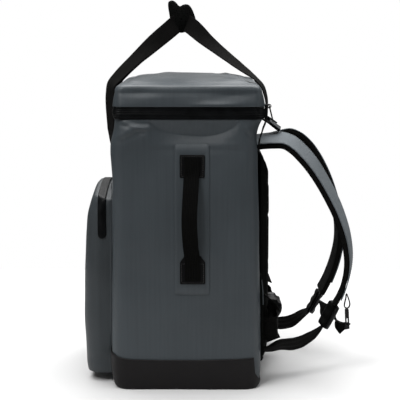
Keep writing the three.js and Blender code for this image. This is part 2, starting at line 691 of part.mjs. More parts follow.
// Stations of a strap on one side.
function strapStations(table, side) {
  return table.map((row, index) => {
    const tilt = THREE.MathUtils.degToRad(row.tilt);
    const share = index / (table.length - 1);
    const before = table[Math.max(index - 1, 0)];
    const after = table[Math.min(index + 1, table.length - 1)];
    const run = new THREE.Vector2(after.out - before.out, after.up - before.up).normalize();
    const x = THREE.MathUtils.lerp(STRAP_ROOT_X, STRAP_END_X, share);
    return {
      at: [side * x, BACK + row.out, row.up],
      across: [
        Math.cos(tilt),
        side * Math.sin(tilt) * run.y,
        -side * Math.sin(tilt) * run.x,
      ],
    };
  });
}
const LOCK_LENGTH = 44;
const LOCK_WIDTH = 44;
const LOCK_THICK = 11;
const LOCK_SLOT = 6;
const LOCK_FALL = 63;

// A ladder lock grown by a distance, hanging down and in from the end of a strap.
function lockForm(table, side, grow) {
  const fall = THREE.MathUtils.degToRad(LOCK_FALL);
  const end = table[table.length - 1];
  const reach = LOCK_LENGTH / 2 + 2 * GAP;
  const place = (geometry, along) => {
    geometry.translate(0, 0, along);
    geometry.rotateZ(side * THREE.MathUtils.degToRad(end.tilt));
    geometry.rotateX(fall - Math.PI / 2);
    geometry.translate(
      side * STRAP_END_X,
      BACK + end.out - reach * Math.cos(fall),
      end.up - reach * Math.sin(fall),
    );
    return solidOf(geometry);
  };
  const grown = 2 * grow;
  const outer = new THREE.BoxGeometry(LOCK_WIDTH + grown, LOCK_THICK + grown, LOCK_LENGTH + grown);
  if (grow > 0) return place(outer, 0);
  const slot = new THREE.BoxGeometry(LOCK_WIDTH - 12, LOCK_THICK + 10, LOCK_SLOT);
  return place(outer, 0).subtract(place(slot, 9 - LOCK_LENGTH / 2));
}

const STRAP_STEPS = 30;
const strapBody = strapSection(STRAP_WIDTH, STRAP_THICK, 3);
const faceLift = STRAP_THICK / 2 + 2 * GAP + STRAP_FACE_THICK / 2;
const strapFace = strapSection(STRAP_WIDTH, STRAP_FACE_THICK, 0)
  .map(([across, through]) => [across, through - faceLift]);
for (const [side, name, table] of [[1, 'right', RIGHT_STRAP], [-1, 'left', LEFT_STRAP]]) {
  const pad = band(strapStations(table, side), strapBody, STRAP_STEPS);
  const face = band(strapStations(table, side), strapFace, STRAP_STEPS, STRAP_STEPS - 2);
  const lockSpace = lockForm(table, side, GAP);
  add(`shoulder_pad_${name}`, pad.subtract(bodyAndBoot).subtract(lockSpace), FOAM);
  add(`shoulder_face_${name}`, face.subtract(bodyAndBoot), STRAP_GREY);
}

// Ladder locks, lower straps and free ends: roll turns the webbing about its run
const RIGHT_LOWER = [
  { x: 86, out: 112, up: 89.5, roll: -11 },
  { x: 89, out: 103, up: 81, roll: 2 },
  { x: 92, out: 91.2, up: 72.2, roll: 16 },
  { x: 96, out: 72.2, up: 62.7, roll: 26 },
  { x: 102, out: 56.3, up: 60.5, roll: 27 },
  { x: 110, out: 42.1, up: 61.5, roll: 20 },
  { x: 119, out: 31, up: 61, roll: 8 },
  { x: 127, out: 21, up: 60, roll: 0 },
  { x: 131, out: 13, up: 60, roll: 0 },
  { x: 131, out: 5, up: 60, roll: 0 },
];
const LEFT_LOWER = [
  { x: 86, out: 106, up: 70.5, roll: 0 },
  { x: 90, out: 93, up: 62, roll: -18 },
  { x: 94, out: 72.8, up: 47.3, roll: -38 },
  { x: 99, out: 54.6, up: 42.2, roll: -40 },
  { x: 107, out: 40.5, up: 42, roll: -28 },
  { x: 117, out: 30, up: 46, roll: -12 },
  { x: 126, out: 21, up: 50, roll: 0 },
  { x: 131, out: 13, up: 53, roll: 0 },
  { x: 131, out: 5, up: 54, roll: 0 },
];
const RIGHT_TAIL = [
  { x: 83, out: 131.9, up: 102.5, roll: -11 },
  { x: 84, out: 137.1, up: 95.3, roll: -6 },
  { x: 84, out: 142.7, up: 88.3, roll: 20 },
  { x: 84, out: 150.5, up: 81.5, roll: 50 },
];
const LEFT_TAIL = [
  { x: 86, out: 124.0, up: 84.8, roll: 0 },
  { x: 88, out: 128.7, up: 77.4, roll: 8 },
  { x: 89, out: 135.2, up: 69.5, roll: 30 },
  { x: 90, out: 144.2, up: 61, roll: 55 },
];

// Stations of loose webbing: roll turns its width from sideways to upright.
function looseStations(table, side) {
  return table.map((row, index) => {
    const before = table[Math.max(index - 1, 0)];
    const after = table[Math.min(index + 1, table.length - 1)];
    const run = new THREE.Vector2(after.out - before.out, after.up - before.up).normalize();
    const roll = THREE.MathUtils.degToRad(row.roll);
    return {
      at: [side * row.x, BACK + row.out, row.up],
      across: [side * Math.cos(roll), -Math.sin(roll) * run.y, Math.sin(roll) * run.x],
    };
  });
}
const lowerSection = strapSection(WEB, WEB_THICK, 0);
const wingBack = BACK + WING_DEPTH;
const aheadOfWing = block([-200, 0, 0], [200, wingBack + GAP, 250]);
for (const [side, name, strap, lower, tail] of [
  [1, 'right', RIGHT_STRAP, RIGHT_LOWER, RIGHT_TAIL],
  [-1, 'left', LEFT_STRAP, LEFT_LOWER, LEFT_TAIL],
]) {
  const lockSpace = lockForm(strap, side, GAP);
  const lowerStrap = band(looseStations(lower, side), lowerSection, 24)
    .subtract(aheadOfWing)
    .subtract(lockSpace);
  add(`ladder_lock_${name}`, lockForm(strap, side, 0), HARD_BLACK);
  add(`lower_strap_${name}`, lowerStrap, WEBBING);
  add(`strap_tail_${name}`, band(looseStations(tail, side), lowerSection, 8), WEBBING);
}

// Load lifters: thin webbing from the pack's back to the top of each strap
const LIFTER = [
  { x: 52, out: -6, up: 443, roll: 0 },
  { x: 52, out: 6, up: 439.5, roll: -2 },
  { x: 52, out: 16, up: 434.5, roll: -6 },
  { x: 52, out: 26, up: 427.5, roll: -10 },
  { x: 52, out: 36, up: 420.2, roll: -12 },
];
const LIFTER_TAB = [
  { x: 52, out: 20, up: 435.6, roll: -8 },
  { x: 52, out: 26, up: 431.4, roll: -10 },
  { x: 52, out: 32, up: 427.1, roll: -11 },
  { x: 52, out: 37.8, up: 422.8, roll: -12 },
];
const lifterSection = strapSection(20, WEB_THICK, 0);
for (const [side, name] of [[1, 'right'], [-1, 'left']]) {
  const lifter = band(looseStations(LIFTER, side), lifterSection, 12).subtract(bodyAndBoot);
  add(`load_lifter_${name}`, lifter, WEBBING);
  add(`lifter_tab_${name}`, band(looseStations(LIFTER_TAB, side), lifterSection, 10), STRAP_GREY);
}

// Gear loop and clip at the end of the right strap's face
const LOOP_X = STRAP_END_X + 14;
const plateWithHole = (outline, hole, fromX, toX) => {
  const behind = ([out, up]) => [BACK + out, up];
  return sidePlate(outline.map(behind), fromX, toX)
    .subtract(sidePlate(hole.map(behind), fromX - 1, toX + 1));
};
add('gear_loop', plateWithHole([
  [149.4, 152.5], [153.5, 141.5], [156.2, 129.5], [154, 123], [150, 121.5], [145.8, 123.5],
  [144.8, 128.5], [147, 140.5], [147.4, 150.5],
], [
  [149.6, 143.5], [151.2, 138.5], [153.6, 129.5], [152, 125.3], [149.6, 124.1], [147.4, 125.5],
  [146.8, 129.5], [148.6, 138],
], LOOP_X, LOOP_X + 4), WEBBING);
add('gear_clip', plateWithHole([
  [146.6, 121.1], [153, 121.1], [155, 87.5], [147.6, 86], [147.6, 101.5],
], [
  [149.6, 105.5], [151.8, 105.5], [152.2, 92.5], [150, 92.5],
], LOOP_X - 1, LOOP_X + 5), HARD_BLACK);

// Waist belt: narrow wings on the back corners, two halves and a closed buckle
const wingX = HALF_WIDTH - BODY_CORNER - WING_WIDTH;
const wingOutline = [
  [BACK - 2, 190], [wingBack - 4, 184], [wingBack - 0.6, 172], [wingBack, 160],
  [wingBack, 60], [wingBack - 2, 50], [BACK - 2, 44],
];
const wing = sidePlate(wingOutline, wingX, wingX + WING_WIDTH).subtract(bodyAndBoot);
const BELT_RIGHT = [
  { x: HALF_WIDTH - 30.5, out: 6, up: 94 }, { x: HALF_WIDTH - 32.5, out: 19, up: 94 },
  { x: HALF_WIDTH - 41, out: 29, up: 93.5 },
  { x: 98, out: 33, up: 93 }, { x: 68, out: 33.5, up: 93 }, { x: BUCKLE_HALF, out: 33.5, up: 93 },
];
const beltStations = BELT_RIGHT.map((row) => ({
  at: [row.x, BACK + row.out, row.up],
  across: [0, 0, 1],
}));
const besideBuckle = block([-BUCKLE_HALF - GAP, BACK, 0], [BUCKLE_HALF + GAP, BACK + 90, 200]);
const beltHalf = band(beltStations, strapSection(BELT_WEB, WEB_THICK, 0), 24)
  .subtract(aheadOfWing)
  .subtract(besideBuckle);
const beltStay = band([
  { at: [HALF_WIDTH - 26, BACK + 5, 158], across: [1, 0, 0] },
  { at: [HALF_WIDTH - 33, BACK + 15, 148], across: [1, 0.2, 0] },
  { at: [HALF_WIDTH - 45, BACK + 24, 136], across: [1, 0.4, 0] },
  { at: [HALF_WIDTH - 60, BACK + 30, 122], across: [0.9, 0.4, 0] },
], strapSection(20, WEB_THICK, 0), 10).subtract(aheadOfWing);
for (const [turn, name] of [[(solid) => solid, 'right'], [mirrored, 'left']]) {
  add(`belt_wing_${name}`, turn(wing), FOAM);
  add(`waist_belt_${name}`, turn(beltHalf), WEBBING);
  add(`belt_stay_${name}`, turn(beltStay), WEBBING);
}
const buckleOutline = smoothOutline([
  [16, 58], [15, 90], [15.5, 112], [20, 118.6], [36, 118.8], [39.6, 113.5], [45, 111.5],
  [45.5, 98], [41.5, 90], [37.5, 83], [37.5, 60], [35, 48], [22, 47],
].map(([out, up]) => [BACK + out, up]), 30);
add('belt_buckle', sidePlate(buckleOutline, -BUCKLE_HALF, BUCKLE_HALF), HARD_BLACK);
add('belt_tail', band([
  { at: [-36, BACK + 29, 45.6], across: [0.25, 0.97, 0] },
  { at: [-40, BACK + 30, 38], across: [0.15, 0.98, 0] },
  { at: [-42, BACK + 32, 32], across: [0, 1, 0] },
  { at: [-43, BACK + 35, 25], across: [0, 1, 0] },
], strapSection(30, WEB_THICK, 0), 10), WEBBING);

export default group;
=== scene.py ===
"""Looks of a soft-sided cooler backpack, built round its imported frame.

Shapes are worked out in millimetres and stored in metres, in the frame's axes:
X is the width, the front is -Y, Z is up, and the foot stands on Z = 0.
"""
import math

import bpy
import numpy as np
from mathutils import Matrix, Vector


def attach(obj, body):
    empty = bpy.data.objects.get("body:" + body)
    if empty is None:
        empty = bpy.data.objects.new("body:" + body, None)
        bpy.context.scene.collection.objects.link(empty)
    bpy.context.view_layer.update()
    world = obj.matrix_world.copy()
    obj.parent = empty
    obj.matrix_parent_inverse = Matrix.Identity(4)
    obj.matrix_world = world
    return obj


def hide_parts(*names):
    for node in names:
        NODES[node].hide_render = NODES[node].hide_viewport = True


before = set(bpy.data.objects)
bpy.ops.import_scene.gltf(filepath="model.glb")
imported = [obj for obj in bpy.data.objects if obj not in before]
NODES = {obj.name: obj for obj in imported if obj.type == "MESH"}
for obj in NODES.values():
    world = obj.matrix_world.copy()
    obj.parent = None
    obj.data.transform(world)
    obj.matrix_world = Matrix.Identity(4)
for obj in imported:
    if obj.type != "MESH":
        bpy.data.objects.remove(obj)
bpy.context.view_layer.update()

MM = 0.001

# Sizes shared with the frame
GAP = 0.3
HALF_WIDTH = 160.0
HALF_DEPTH = 120.0
BODY_TOP = 447.0
BODY_WALL = 20.0
BODY_CORNER = 22.0
SIDE_BULGE = 3.0
BOOT_WALL = 2.6
BOOT_FLOOR = 3.0
ZIP_HEIGHT = 19.4
ZIP_DEPTH = 11.0
LID_BOTTOM = BODY_TOP + 2 * GAP + ZIP_HEIGHT
LID_TOP = 501.0
LID_CROWN = 13.0
LID_WALL = 14.0
LID_CORNER = 14.0
POCKET_HALF_WIDTH = 120.0
POCKET_DEPTH = 52.0
POCKET_BOTTOM = 15.0
POCKET_TOP = 328.0
POCKET_ARCH = 17.0
POCKET_CORNER = 30.0
WEB = 28.0
HANDLE_WEB = 25.0
SLIM_WEB = 20.0
WEB_THICK = 2.0
WEB_ROUNDING = 0.9
STRAP_WIDTH = 66.0
STRAP_THICK = 8.5
STRAP_FACE_THICK = 1.6
STRAP_ROOT_X = 76.0
STRAP_END_X = 86.0
BELT_WEB = 38.0
PAD_HALF_WIDTH = 116.0
PAD_BOTTOM = 25.0
PAD_TOP = 384.0

# Camera, as the photograph was taken
CAMERA_PLACE = (1.92, 0.0216, 0.592)
CAMERA_DOWN = math.radians(8.88)
CAMERA_LENS = 99.4

# Levels of the body: share of its height, then front and back as shares of its half depth
BODY_LEVELS = np.array([
    (0.000, 0.960, 0.965), (0.007, 0.985, 0.990), (0.020, 1.005, 1.005), (0.040, 1.018, 1.012),
    (0.075, 1.030, 1.018), (0.140, 1.036, 1.018), (0.340, 1.030, 1.005), (0.540, 1.020, 0.990),
    (0.700, 1.013, 0.975), (0.776, 1.010, 0.968), (0.832, 1.022, 0.962), (0.887, 1.030, 0.955),
    (0.914, 1.022, 0.945), (0.932, 1.005, 0.938), (0.952, 0.985, 0.948), (0.976, 0.970, 0.975),
    (1.000, 0.962, 1.020),
])
ZIP_LEVELS = np.array([
    (0.0, 0.972, 1.034), (0.2, 0.985, 1.043), (0.5, 0.990, 1.046), (0.8, 0.987, 1.043),
    (1.0, 0.978, 1.036),
])
# Levels of the lid, with how far its top edge is drawn in
LID_LEVELS = np.array([
    (0.00, 0.975, 1.035, 0.0), (0.30, 0.972, 1.030, 0.0), (0.62, 0.968, 1.020, 0.2),
    (0.80, 0.966, 1.013, 1.1), (0.91, 0.964, 1.008, 2.9), (0.97, 0.962, 1.006, 5.0),
    (1.00, 0.962, 1.004, 8.0),
])
# Levels of the pocket: share of its height, then its share of the depth
POCKET_LEVELS = np.array([
    (0.000, 0.955), (0.012, 0.970), (0.104, 1.005), (0.223, 1.030), (0.387, 1.040),
    (0.577, 1.015), (0.795, 0.955), (0.905, 0.880), (0.958, 0.790), (0.990, 0.700),
    (1.000, 0.640),
])
# Top edge of the boot seen from the side: Y, Z
BOOT_EDGE = np.array([
    (-200, 62), (-123, 62), (-110, 55.5), (-89, 51.5), (-40, 50.4), (22, 50.3), (80, 52),
    (108, 53.8), (109, 29), (120, 10), (121, 3.2), (200, 3.2),
])


# ---------------------------------------------------------------- numbers and curves

def smooth(value, low, high):
    """Rise from 0 at low to 1 at high, level at both ends."""
    share = np.clip((value - low) / (high - low), 0, 1)
    return share * share * (3 - 2 * share)


def eased(table, at):
    """Columns of a table at any shares: Hermite curves through its rows with central slopes."""
    shares, values = table[:, 0], table[:, 1:]
    slopes = np.gradient(values, shares, axis=0)
    low = np.clip(np.searchsorted(shares, at, side="right") - 1, 0, len(shares) - 2)
    span = (shares[low + 1] - shares[low])[..., None]
    t = np.clip((at - shares[low])[..., None] / span, 0, 1)
    return ((1 + 2 * t) * (1 - t) ** 2 * values[low] + t * (1 - t) ** 2 * span * slopes[low]
            + t * t * (3 - 2 * t) * values[low + 1] + t * t * (t - 1) * span * slopes[low + 1])


def ripple(a, b, seed, reach, height):
    """Soft unevenness: the sum of seven waves in seeded directions, about reach long."""
    rng = np.random.default_rng(seed)
    total = 0.0
    for angle, phase, pace in rng.uniform((0, 0, 0.6), (math.pi, 2 * math.pi, 1.6), (7, 3)):
        run = a * math.cos(angle) + b * math.sin(angle)
        total = total + np.sin(run * 2 * math.pi * pace / reach + phase)
    return total * height / 3


def fold(a, b, start, end, width, height):
    """Crease along a line: up on its left, down on its right, fading past its two ends."""
    run_a, run_b = end[0] - start[0], end[1] - start[1]
    length = math.hypot(run_a, run_b)
    along = ((a - start[0]) * run_a + (b - start[1]) * run_b) / length
    off = ((b - start[1]) * run_a - (a - start[0]) * run_b) / length / width
    fade = smooth(along, -width, 2 * width) * (1 - smooth(along, length - 2 * width, length + width))
    return height * fade * 1.65 * off * np.exp(-off * off / 2)


def ring_template(side, end, corner):
    """Unit rounded rectangle, anticlockwise from the right back corner.

    Four rows: where the corner's centre is, from -1 to 1 across and along, and the outward
    direction. Straight runs slide the centre from one corner to the next.
    """
    turn = np.linspace(0, math.pi / 2, corner + 1)
    parts = []
    for (sx, sy), (nx, ny), start, steps in (
        ((1, 1), (-1, 1), 0.0, end), ((-1, 1), (-1, -1), 0.5, side),
        ((-1, -1), (1, -1), 1.0, end), ((1, -1), (1, 1), 1.5, side),
    ):
        angle = start * math.pi + turn
        parts.append(np.array([np.full(corner + 1, sx), np.full(corner + 1, sy),
                               np.cos(angle), np.sin(angle)]))
        share = np.arange(1, steps) / steps
        parts.append(np.array([sx + share * (nx - sx), sy + share * (ny - sy),
                               np.full(steps - 1, np.cos(angle[-1])),
                               np.full(steps - 1, np.sin(angle[-1]))]))
    return np.concatenate(parts, axis=1)


def rings(template, half, front, back, front_corner, back_corner):
    """Rounded rectangles, one a row: X and Y of each point from its row's sizes."""
    cx, cy, dx, dy = template
    share = (cy + 1) / 2
    radius = front_corner + share * (back_corner - front_corner)
    x = cx * (half - radius) + radius * dx
    y = front + front_corner + share * (back - back_corner - front - front_corner) + radius * dy
    return x + 0 * y, y + 0 * x


def course(stations, shares):
    """Centripetal curve through the stations: places and unit tangents at shares of their count."""
    places = np.asarray(stations, float)
    held = np.vstack([2 * places[0] - places[1], places, 2 * places[-1] - places[-2]])
    position = np.asarray(shares) * (len(places) - 1)
    low = np.clip(position.astype(int), 0, len(places) - 2)
    w = (position - low)[:, None]
    p0, p1, p2, p3 = (held[low + k] for k in range(4))
    d0, d1, d2 = (np.linalg.norm(b - a, axis=1, keepdims=True) ** 0.5
                  for a, b in ((p0, p1), (p1, p2), (p2, p3)))
    m1 = ((p1 - p0) / d0 - (p2 - p0) / (d0 + d1) + (p2 - p1) / d1) * d1
    m2 = ((p2 - p1) / d1 - (p3 - p1) / (d1 + d2) + (p3 - p2) / d2) * d1
    c3, c2 = 2 * p1 - 2 * p2 + m1 + m2, 3 * p2 - 3 * p1 - 2 * m1 - m2
    tangent = (3 * c3 * w + 2 * c2) * w + m1
    return ((c3 * w + c2) * w + m1) * w + p1, tangent / np.linalg.norm(tangent, axis=1)[:, None]


def carried(stations, shares):
    """Places, tangents, across and through directions along a strap's stations."""
    places, tangents = course([s[0] for s in stations], shares)
    turns = np.array([s[1] for s in stations], float)
    position = np.asarray(shares) * (len(turns) - 1)
    low = np.clip(position.astype(int), 0, len(turns) - 2)
    share = (position - low)[:, None]
    across = turns[low] + share * (turns[low + 1] - turns[low])
    across -= (across * tangents).sum(1)[:, None] * tangents
    across /= np.linalg.norm(across, axis=1)[:, None]
    return places, tangents, across, np.cross(tangents, across)


def strap_section(width, thickness, rounding, flats=9, lift=0.0):
    """Closed outline of a strap, across and through: two flats joined by rounded edges."""
    half, deep = width / 2, thickness / 2
    turn = np.linspace(0, math.pi / 2, 4)
    across, through = [], []
    for sx, sy, start in ((1, -1, -0.5), (1, 1, 0.0), (-1, 1, 0.5), (-1, -1, 1.0)):
        angle = start * math.pi + turn
        across.append(sx * (half - rounding) + rounding * np.cos(angle))
        through.append(sy * (deep - rounding) + rounding * np.sin(angle))
        if sx != (-1 if sy > 0 else 1):
            inner = np.linspace(sx, -sx, flats + 1)[1:-1] * (half - rounding)
            across.append(inner)
            through.append(np.full(flats - 1, sy * deep))
    return np.concatenate(across), np.concatenate(through) + lift


def webbing(width):
    """Outline of webbing of this width, by its thickness and the rounding of its edges."""
    return strap_section(width, WEB_THICK, WEB_ROUNDING)


def band(stations, section, steps, last=1.0, first=0.0, width=None, swell=None):
    """Strap: its section carried along the stations. Returns the grid and the weave's place.

    width scales the section across by share of the run, swell adds to it through, by share
    and place across.
    """
    shares = np.linspace(first, last, steps + 1)
    places, _, across, through = carried(stations, shares)
    a, t = section
    scale = np.ones(len(shares)) if width is None else width(shares)
    wide = a[None, :] * scale[:, None]
    deep = np.broadcast_to(t[None, :], wide.shape)
    if swell is not None:
        deep = deep + swell(shares[:, None], a[None, :], t[None, :])
    grid = (places[:, None] + across[:, None] * wide[..., None]
            + through[:, None] * deep[..., None])
    run = np.concatenate([[0], np.cumsum(np.linalg.norm(np.diff(places, axis=0), axis=1))])
    return grid, np.stack([wide, np.broadcast_to(run[:, None], wide.shape)], axis=-1) * MM


# ---------------------------------------------------------------- meshes

def tube_faces(count, rows, columns, loop):
    """Quads of tubes laid over grids, and the fans that close their two ends."""
    column = np.arange(columns)
    after = (column + 1) % columns
    row = np.arange(rows if loop else rows - 1)[:, None]
    here, above = row * columns, (row + 1) % rows * columns
    quads = np.stack([here + column, here + after, above + after, above + column], -1)
    quads = quads.reshape(-1, 4)
    size = rows * columns + (0 if loop else 2)
    shift = (np.arange(count) * size)[:, None, None]
    quads = (quads + shift).reshape(-1, 4)
    if loop:
        return quads, np.empty((0, 3), int)
    top, hub = (rows - 1) * columns, rows * columns
    fans = np.concatenate([
        np.stack([after, column, np.full(columns, hub)], -1),
        np.stack([top + column, top + after, np.full(columns, hub + 1)], -1),
    ])
    return quads, (fans + shift).reshape(-1, 3)


def tube_mesh(name, grids, loop=False):
    """Mesh of closed tubes from grids of (tubes, rows, columns, 3) in millimetres.

    Each grid may come with the weave's place at its points, which becomes the UV map.
    """
    vertices, faces, weave, offset = [], [], [], 0
    for grid in grids:
        points, place = grid if isinstance(grid, tuple) else (grid, None)
        if points.ndim == 3:
            points = points[None]
            place = None if place is None else place[None]
        count, rows, columns = points.shape[:3]
        lists = [points.reshape(count, -1, 3)]
        marks = [np.zeros((count, rows * columns, 2)) if place is None
                 else place.reshape(count, -1, 2)]
        if not loop:
            for row in (0, -1):
                lists.append(points[:, row].mean(axis=1)[:, None])
                marks.append(np.zeros((count, 1, 2)) if place is None
                             else place[:, row].mean(axis=1)[:, None])
        solid = np.concatenate(lists, axis=1)
        quads, fans = tube_faces(count, rows, columns, loop)
        flat = solid.reshape(-1, 3)
        one = quads[:len(quads) // count]
        a, b, c, d = (flat[one[:, k]] for k in range(4))
        volume = (a * np.cross(b, c)).sum() + (a * np.cross(c, d)).sum()
        if len(fans):
            a, b, c = (flat[fans[:len(fans) // count, k]] for k in range(3))
            volume += (a * np.cross(b, c)).sum()
        if volume < 0:
            quads, fans = quads[:, ::-1], fans[:, ::-1]
        faces += (quads + offset).tolist() + (fans + offset).tolist()
        vertices.append(flat)
        weave.append(np.concatenate(marks, axis=1).reshape(-1, 2))
        offset += len(flat)
    mesh = bpy.data.meshes.new(name)
    mesh.from_pydata((np.concatenate(vertices) * MM).tolist(), [], faces)
    index = np.empty(len(mesh.loops), np.int32)
    mesh.loops.foreach_get("vertex_index", index)
    mesh.uv_layers.new(name="weave").data.foreach_set(
        "uv", np.concatenate(weave)[index].astype(np.float32).ravel())
    mesh.polygons.foreach_set("use_smooth", np.ones(len(faces), bool))
    mesh.update()
    return mesh


def piece(name, mesh, finish, nodes=()):
    """Object of the mesh with its finish; it rides on the pack and stands for CAD nodes."""
    made = bpy.data.objects.new("shaped_" + name if nodes else name, mesh)
    bpy.context.scene.collection.objects.link(made)
    mesh.materials.clear()
    mesh.materials.append(finish)
    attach(made, "pack")
    if nodes:
        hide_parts(*nodes)
    return made


def stand_in(name, grids, finish, loop=False):
    """Piece of closed tubes that stands for the CAD node of the same name."""
    return piece(name, tube_mesh(name, grids, loop), finish, [name])


def kept(grid):
    """The grid as it is, on the right side of the pack."""
    return grid


def mirrored(grid):
    """The same grid on the other side of the pack."""
    if isinstance(grid, tuple):
        return mirrored(grid[0]), grid[1]
    return grid * np.array([-1.0, 1.0, 1.0])


SIDES = (("right", kept), ("left", mirrored))


def threads(path, normal, pitch=4.2, length=3.0, radius=0.42):
    """Row of stitches along a path: spindles of five rings, each half sunk in the cloth."""
    path = np.asarray(path, float)
    normal = np.broadcast_to(np.asarray(normal, float), path.shape)
    run = np.concatenate([[0], np.cumsum(np.linalg.norm(np.diff(path, axis=0), axis=1))])
    at = np.arange(pitch / 2, run[-1] - pitch / 3, pitch)
    place, ahead, up = (np.stack([np.interp(s, run, v[:, k]) for k in range(3)], -1)
                        for s, v in ((at, path), (at + 0.4, path), (at, normal)))
    tangent = ahead - place
    tangent /= np.linalg.norm(tangent, axis=1)[:, None] + 1e-9
    side = np.cross(tangent, up)
    side /= np.linalg.norm(side, axis=1)[:, None]
    up = np.cross(side, tangent)
    t = np.linspace(-1, 1, 5)
    angle = np.arange(6) * math.pi / 3
    girth = radius * np.sqrt(1 - (t * 0.94) ** 2)
    return (place[:, None, None] + tangent[:, None, None] * (t * length / 2)[:, None, None]
            + side[:, None, None] * (girth[:, None] * np.cos(angle))[..., None]
            + up[:, None, None] * (girth[:, None] * np.sin(angle) * 0.8)[..., None])


# ---------------------------------------------------------------- finishes

class Number:
    """A shader socket holding a number; arithmetic on it adds Math nodes."""

    def __init__(self, finish, socket):
        self.finish = finish
        self.socket = socket

    def by(self, operation, *others):
        node = self.finish.node("ShaderNodeMath", {"operation": operation},
                                dict(enumerate((self, *others))))
        return Number(self.finish, node.outputs[0])

    def __add__(self, other):
        return self.by("ADD", other)

    def __sub__(self, other):
        return self.by("SUBTRACT", other)

    def __rsub__(self, other):
        return self * -1 + other

    def __mul__(self, other):
        return self.by("MULTIPLY", other)

    __radd__ = __add__
    __rmul__ = __mul__

    def rise(self, low, high):
        """1 above high, 0 below low, smooth between."""
        node = self.finish.node("ShaderNodeMapRange", {"interpolation_type": "SMOOTHSTEP"},
                                {"Value": self, "From Min": low, "From Max": high})
        return Number(self.finish, node.outputs[0])

    def wave(self, pitch, phase=0.0):
        """Sine of this length in units of pitch."""
        return (self * (2 * math.pi / pitch) + phase).by("SINE")


class Finish:
    """One material: a Principled shader, and one method that adds any other node."""

    def __init__(self, name, **constants):
        self.material = bpy.data.materials.new(name)
        self.material.use_nodes = True
        self.tree = self.material.node_tree
        self.shader = self.tree.nodes["Principled BSDF"]
        for socket, value in constants.items():
            self.shader.inputs[socket.replace("_", " ")].default_value = value
        self.coordinates = self.node("ShaderNodeTexCoord")

    def feed(self, socket, value):
        if isinstance(value, Number):
            value = value.socket
        if isinstance(value, bpy.types.NodeSocket):
            self.tree.links.new(value, socket)
        else:
            socket.default_value = value

    def node(self, kind, settings=None, inputs=None):
        """Any node: its settings first, then the values or links of its sockets."""
        made = self.tree.nodes.new(kind)
        for key, value in (settings or {}).items():
            setattr(made, key, value)
        for key, value in (inputs or {}).items():
            self.feed(made.inputs[key], value)
        return made

    def axes(self, source="Object"):
        """The place's three numbers, in millimetres."""
        split = self.node("ShaderNodeSeparateXYZ", None, {0: self.coordinates.outputs[source]})
        return [Number(self, socket) * 1000 for socket in split.outputs]

    def noise(self, scale, detail=2.0, stretch=(1, 1, 1)):
        """Cloudy number about 0.5, scale to the metre, stretched along an axis."""
        place = self.node("ShaderNodeMapping", None,
                          {"Vector": self.coordinates.outputs["Object"], "Scale": stretch})
        made = self.node("ShaderNodeTexNoise", None,
                         {"Vector": place.outputs[0], "Scale": scale, "Detail": detail})
        return Number(self, made.outputs[0])

    def cells(self, scale, feature="DISTANCE_TO_EDGE"):
        made = self.node("ShaderNodeTexVoronoi", {"feature": feature},
                         {"Vector": self.coordinates.outputs["Object"], "Scale": scale})
        return Number(self, made.outputs[0])

    def mix(self, factor, first, second):
        """Colour between two others."""
        made = self.node("ShaderNodeMix", {"data_type": "RGBA"}, {0: factor, 6: first, 7: second})
        return made.outputs[2]

    def relief(self, height, distance, strength=1.0):
        """Height in shares of distance, in metres, as the surface's bump."""
        bump = self.node("ShaderNodeBump", None,
                         {"Height": height, "Distance": distance, "Strength": strength})
        self.feed(self.shader.inputs["Normal"], bump.outputs["Normal"])

    def done(self, colour=None, roughness=None):
        for socket, value in (("Base Color", colour), ("Roughness", roughness)):
            if value is not None:
                self.feed(self.shader.inputs[socket], value)
        return self.material


def tone(red, green, blue, share=1.0):
    """Linear colour from the 0 to 255 values that a screen shows, times a share."""
    return tuple((v / 255 / 12.92 if v <= 10 else ((v / 255 + 0.055) / 1.055) ** 2.4) * share
                 for v in (red, green, blue)) + (1.0,)


def coated_cloth(name, shade, roughness=0.46, gloss=0.36):
    """Coated fabric: plain weave under a satin coat, clouded, with faint upright streaks."""
    finish = Finish(name, Specular_IOR_Level=gloss)
    x, y, z = finish.axes()
    cloud = finish.noise(7, 3)
    streak = finish.noise(260, 2, (1, 1, 0.02))
    grain = finish.noise(900, 1)
    weave = (x + y).wave(1.5) * z.wave(1.5)
    light = (cloud - 0.5) * 0.5 + (streak - 0.5) * 0.42 + (grain - 0.5) * 0.2 + 0.5 + weave * 0.05
    colour = finish.mix(light.rise(0.1, 0.9), tone(*shade, 0.8), tone(*shade, 1.24))
    soft = finish.noise(38, 3)
    finish.relief(weave * 0.10 + grain * 0.10 + soft * 1.1, 0.0011, 0.5)
    return finish.done(colour, (cloud - 0.5) * 0.25 + (grain - 0.5) * 0.12 + roughness)


def woven_tape(name, dark, light, pitch=1.7, roughness=0.8, gloss=0.05):
    """Webbing: ribs along it, crossed by picks that step from rib to rib."""
    finish = Finish(name, Specular_IOR_Level=gloss)
    across, along, _ = finish.axes("UV")
    rib = across.wave(pitch * 1.6)
    pick = (along + rib * 0.5).wave(pitch)
    fuzz = finish.noise(700, 2)
    weave = rib * 0.35 + pick * 0.35 + fuzz * 0.5
    wear = finish.noise(45, 4).rise(0.5, 0.8)
    colour = finish.mix((weave + wear * 0.4).rise(-0.5, 1.2), tone(*dark), tone(*light))
    finish.relief(weave, 0.0005, 0.8)
    return finish.done(colour, (fuzz - 0.5) * 0.2 + roughness)


